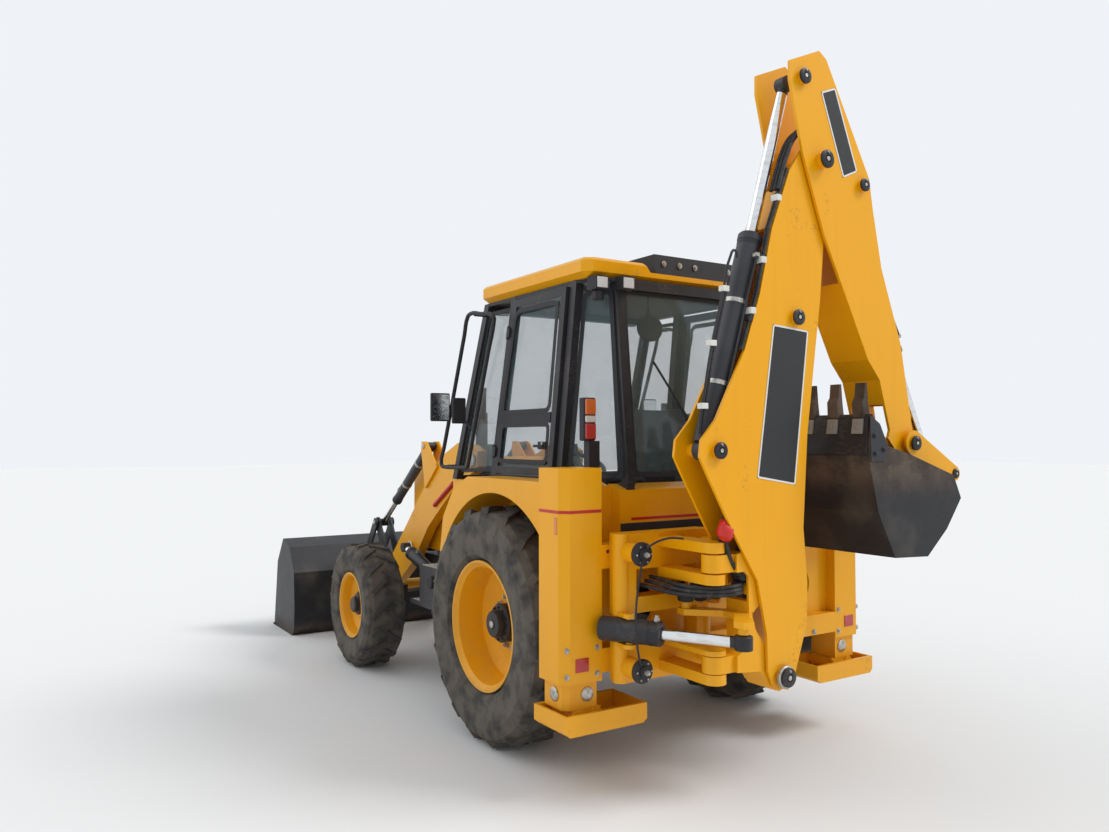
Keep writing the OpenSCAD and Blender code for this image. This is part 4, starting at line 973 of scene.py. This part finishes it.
class AddCabTrim(Operator):
    """Adds lamps, window seals, handles, mirrors and roof fittings to the cab"""
    bl_idname = "loader.add_cab_trim"
    bl_label = "Cab trim"

    def execute(self, context):
        clear, black = finish(lens, (0.80, 0.81, 0.80)), finish(dark_plastic)
        lenses, brackets = Shape(), Shape()
        for sign in (-1, 1):
            lenses.blocks(on_side(sign), (-708, 476, 2613, -704, 548, 2672), (-654, 618, 2613, -649, 688, 2672),
                          (689, 508, 2630, 695, 582, 2672))
            brackets.lathe([(0.0, 0.0), (0.030, 0.0), (0.034, -0.012), (0.034, -0.05), (0.026, -0.058),
                            (0.0, -0.058)], at(-605, sign * 652, 2604), Z, 6)
        lenses.done("work_lamp_lenses", clear, bevel=0.006)
        brackets.done("lamp_brackets", black, smooth=False)
        for side, sign in SIDES:
            spot, door, body = on_side(sign), on_cab(sign), f"door_{side}"
            Shape().blocks(spot, (-690, 728, 1766, -640, 806, 2000)).done(
                f"tail_housing_{side}", black, bevel=0.008)
            for part, colour, low, high in (("indicator", (0.85, 0.16, 0.008), 1908, 1992),
                                            ("reverse", (0.82, 0.80, 0.76), 1866, 1902),
                                            ("brake", (0.60, 0.014, 0.012), 1776, 1860)):
                Shape().blocks(spot, (-702, 734, low, -689, 800, high)).done(
                    f"tail_{part}_{side}", finish(lens, colour), bevel=0.005)
            out = Y * sign * 0.004
            upper = on_plane(door, 15, (330, 1928), (-262, 1928), (-322, 2588), (186, 2588))
            lower = on_plane(door, 15, (352, 1624), (-244, 1624), (-260, 1880), (318, 1880))
            bar = on_plane(door, 2, (330, 1872), (-262, 1872), (-266, 1934), (322, 1934))
            seals = Shape().seal(upper, 0.030, 0.06, out).seal(lower, 0.030, 0.05, out)
            seals.plate(bar, Y * sign * 0.016).done(f"door_seals_{side}", black, body, bevel=0.001)
            handle = Shape().block(door(-232, 1716, 15), door(-150, 1762, 30))
            handle.block(door(-226, 1728, 30), door(-120, 1744, 44))
            handle.done(f"door_handle_{side}", black, body, bevel=0.004)
            Shape().rod(door(-200, 1752, 28), door(-200, 1752, 33), 0.008, 20).done(
                f"door_lock_{side}", finish(zinc), body)
            rear = [spot(-376, 704, 1566), spot(-752, 596, 1566), spot(-612, 552, 2624), spot(-462, 647, 2624)]
            front = on_plane(door, -24, (955, 1548), (466, 1566), (290, 2622), (600, 2622))
            seals = Shape().seal(rear, 0.028, 0.05, Vector((-0.0012, sign * 0.004, 0)))
            seals.seal(front, 0.026, 0.05, out).done(f"cab_seals_{side}", black, bevel=0.001)
            hoop = [spot(x, 820, z) for x, z in (
                (690, 1588), (660, 1590), (645, 1612), (560, 1832), (360, 2342), (292, 2510), (290, 2545),
                (320, 2566), (460, 2588), (610, 2606), (650, 2590), (700, 2470), (860, 2080), (1010, 1720),
                (1056, 1612), (1040, 1592), (1000, 1586), (690, 1588))]
            tube(f"mirror_hoop_{side}", hoop, 0.0135, black, "chassis", resolution=4)
            cases = Shape().rods(spot, (965, 742, 1590, 965, 822, 1590, 0.012, 16),
                                 (560, 716, 2596, 560, 822, 2596, 0.012, 16),
                                 (915, 812, 1946, 900, 842, 1946, 0.013, 16))
            cases.blocks(spot, (880, 836, 1900, 908, 976, 2092), (640, 836, 1880, 664, 934, 2050))
            cases.rods(spot, (566, 818, 1832, 652, 846, 1900, 0.009, 12))
            mount = cases.done(f"mirror_cases_{side}", black, bevel=0.009)
            if sign == 1:
                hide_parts("mirrors")
            Shape().blocks(spot, (878.6, 846, 1910, 880.4, 966, 2082)).done(
                f"mirror_glass_{side}", finish(chrome))
        window = [at(-763, -536, 1566), at(-763, 536, 1566), at(-614, 498, 2624), at(-614, -498, 2624)]
        Shape().seal(window, 0.030, 0.06, -X * 0.004).done("rear_window_seal", black, bevel=0.001)
        Shape().rods(at, (-768, -60, 1572, -786, -60, 1572, 0.018, 24),
                     (-782, -60, 1572, -716, 190, 2010, 0.006, 10),
                     (-752, 20, 1760, -690, 330, 2215, 0.007, 8)).done("rear_wiper", black)
        Shape().blocks(at, (-572, -636, 2660, 562, 636, 2679.5)).done(
            "roof_lining", finish(plain, (0.035, 0.035, 0.037), 0.8), bevel=0.006)
        mirror = Shape().lathe([(0.0, 0.0), (0.075, 0.004), (0.082, 0.012), (0.080, 0.022), (0.055, 0.034),
                                (0.0, 0.040)], at(-470, 170, 2440), Vector((0.9, -0.3, -0.1)).normalized(), 40)
        mirror.rods(at, (-440, 165, 2445, -440, 165, 2662, 0.007, 12)).done("inner_mirror", black)
        bolts, slats = Shape(), Shape()
        for y in (60, -60, 180, -330):
            bolts.nut(at(-609, y, 2800), -X, 0.012, 0.012)
        bolts.done("hood_bolts", finish(zinc))
        for x in range(-560, -308, 36):
            slats.blocks(at, (x, -420, 2851.5, x + 18, 210, 2856))
        slats.done("hood_slats", black, bevel=0.002)
        return {"FINISHED"}


class AddCabInside(Operator):
    """Adds the padded seat, its base, the levers and the dashboard"""
    bl_idname = "loader.add_cab_inside"
    bl_label = "Cab inside"

    def execute(self, context):
        plastic, fabric = finish(dark_plastic), finish(cloth)
        base = Shape().blocks(at, (-220, -200, 1001, 150, 200, 1120))
        for i in range(6):
            low, wide = 1122 + i * 20, 5 * (i % 2)
            base.blocks(at, (-190 - wide, -180 - wide, low, 130 + wide, 180 + wide, low + 18))
        base.blocks(at, (-240, -232, 1243, 240, 232, 1262), (-300, -150, 1262, -270, 150, 1700))
        root = base.done("seat_base", plastic, bevel=0.004)
        cushion = pad("seat_cushion", at(-225, -245, 1264), at(250, 245, 1368), 2, fabric)
        back = pad("seat_back", at(-298, -238, 1372), at(-192, 238, 1968), 0, fabric)
        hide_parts("seat")
        lining = Shape().blocks(at, (-664, -624, 1000.6, 994, 624, 1007), (-669, -624, 1007, -662, 624, 1522),
                                (992, -624, 1007, 999, 624, 1492), (-660, -622, 1007, 990, -629, 1462),
                                (-660, 622, 1007, 990, 629, 1462))
        lining.done("cab_lining", finish(plain, (0.022, 0.022, 0.024), 0.8), bevel=0.001)
        Shape().blocks(at, (760, -560, 1420, 975, 560, 1500), (-610, 320, 1007, -250, 600, 1560),
                       (-400, -600, 1007, 150, -400, 1480)).done("dashboard", plastic, bevel=0.02)
        arms = Shape()
        for y in (-275, 275):
            arms.blocks(at, (-230, y - 22, 1500, 60, y + 22, 1540))
            arms.rods(at, (-235, y, 1500, -250, y * 0.82, 1400, 0.014, 12))
        arms.done("seat_arms", plastic, bevel=0.012)
        levers = Shape()
        for i, y in enumerate((-210, -130, -50, 50, 130, 210)):
            top = at(-545 + 14 * (i % 2), y, 1600)
            levers.rod(at(-545, y, 1418), top, 0.007, 12)
            levers.lathe([(0, -0.02), (0.016, -0.015), (0.021, 0.008), (0.016, 0.026), (0, 0.031)], top, Z, 20)
        levers.done("digger_levers", plastic)
        return {"FINISHED"}


class AddFrontTrim(Operator):
    """Adds treads, shovel edge, bonnet vents, props and caps, and the grille's mesh"""
    bl_idname = "loader.add_front_trim"
    bl_label = "Front trim"

    def execute(self, context):
        black, metal = finish(dark_plastic), finish(zinc)
        profile = (3990, 0), (4130, 0), (4128, 8), (4070, 27), (3990, 27)
        edge = Shape().plate([at(x, -1150, z) for x, z in profile], Y * 2.3)
        for i in range(8):
            edge.nut(at(4030, -1150 + 2300 * (i + 0.5) / 8, 27), Z, 0.015, 0.006)
        edge.done("shovel_edge", finish(worn_steel, 0.3, 0.2, 1.0), "shovel", bevel=0.001)
        for side, sign in SIDES:
            spot = on_side(sign)
            treads, vents = Shape(), Shape()
            for start, rows, z in ((1438, 6, 590.2), (1006, 17, 860.2)):
                for x in range(start, start + rows * 24, 24):
                    for y in range(622, 822, 25):
                        treads.rods(spot, (x, y, z, x, y, z + 3, 0.008, 8, 0.006))
            treads.done(f"step_treads_{side}", metal)
            for x in range(1720, 2278, 62):
                vents.blocks(spot, (x, 349.5, 1180, x + 32, 352.5, 1400))
            vents.done(f"bonnet_vents_{side}", black, "bonnet", bevel=0.0015)
            Shape().blocks(spot, (2430, 349, 960, 2500, 358, 1000)).done(
                f"bonnet_catch_{side}", black, "bonnet", bevel=0.004)
            Shape().rods(spot, (1560, 478, 1440, 1900, 478, 1250, 0.018, 16)).done(
                f"safety_strut_{side}", finish(plain, STRUT_RED, 0.4), "loader_arms")
            Shape().lathe([(0.045, 0.0), (0.045, 0.02), (0.038, 0.028), (0.0, 0.028)], spot(1200, 819, 760),
                          Y * sign, 32).done(f"tank_cap_{side}", black)
        bars = Shape()
        for y in range(-280, 281, 40):
            bars.blocks(at, (2612, y - 2, 702, 2616, y + 2, 1378))
        bars.done("grille_mesh", black)
        Shape().lathe([(0.039, -0.03), (0.041, 0.0), (0.0405, 0.012), (0.034, 0.012), (0.034, -0.02)],
                      at(2000, 0, 2198), Z, 32).done("exhaust_tip", finish(exhaust_metal), "bonnet")
        return {"FINISHED"}


PIECES = (LayStage, FinishNodes, AddWheelFittings, AddPinEnds, AddRamFittings, AddDiggerTrim, AddHoses,
          AddRearTrim, AddCabTrim, AddCabInside, AddFrontTrim)


class LOADER_PT_pieces(Panel):
    """Lists the machine's settings and its groups of pieces"""
    bl_label = "Backhoe loader"
    bl_space_type = "VIEW_3D"
    bl_region_type = "UI"
    bl_category = "Loader"

    def draw(self, context):
        layout = self.layout
        for group in (context.scene.loader_paint, context.scene.loader_fittings, context.scene.loader_stage):
            for name in group.__annotations__:
                layout.prop(group, name)
        for piece in PIECES:
            layout.operator(piece.bl_idname)


GROUPS = {"loader_paint": PaintSettings, "loader_fittings": FittingSettings, "loader_stage": StageSettings}


def register():
    for name, group in GROUPS.items():
        bpy.utils.register_class(group)
        setattr(bpy.types.Scene, name, PointerProperty(type=group))
    for piece in PIECES:
        bpy.utils.register_class(piece)
    bpy.utils.register_class(LOADER_PT_pieces)


def unregister():
    bpy.utils.unregister_class(LOADER_PT_pieces)
    for piece in reversed(PIECES):
        bpy.utils.unregister_class(piece)
    for name, group in GROUPS.items():
        delattr(bpy.types.Scene, name)
        bpy.utils.unregister_class(group)


def main():
    register()
    for piece in PIECES:
        family, name = piece.bl_idname.split(".")
        getattr(getattr(bpy.ops, family), name)()
    bpy.context.view_layer.update()


if __name__ == "__main__":
    main()
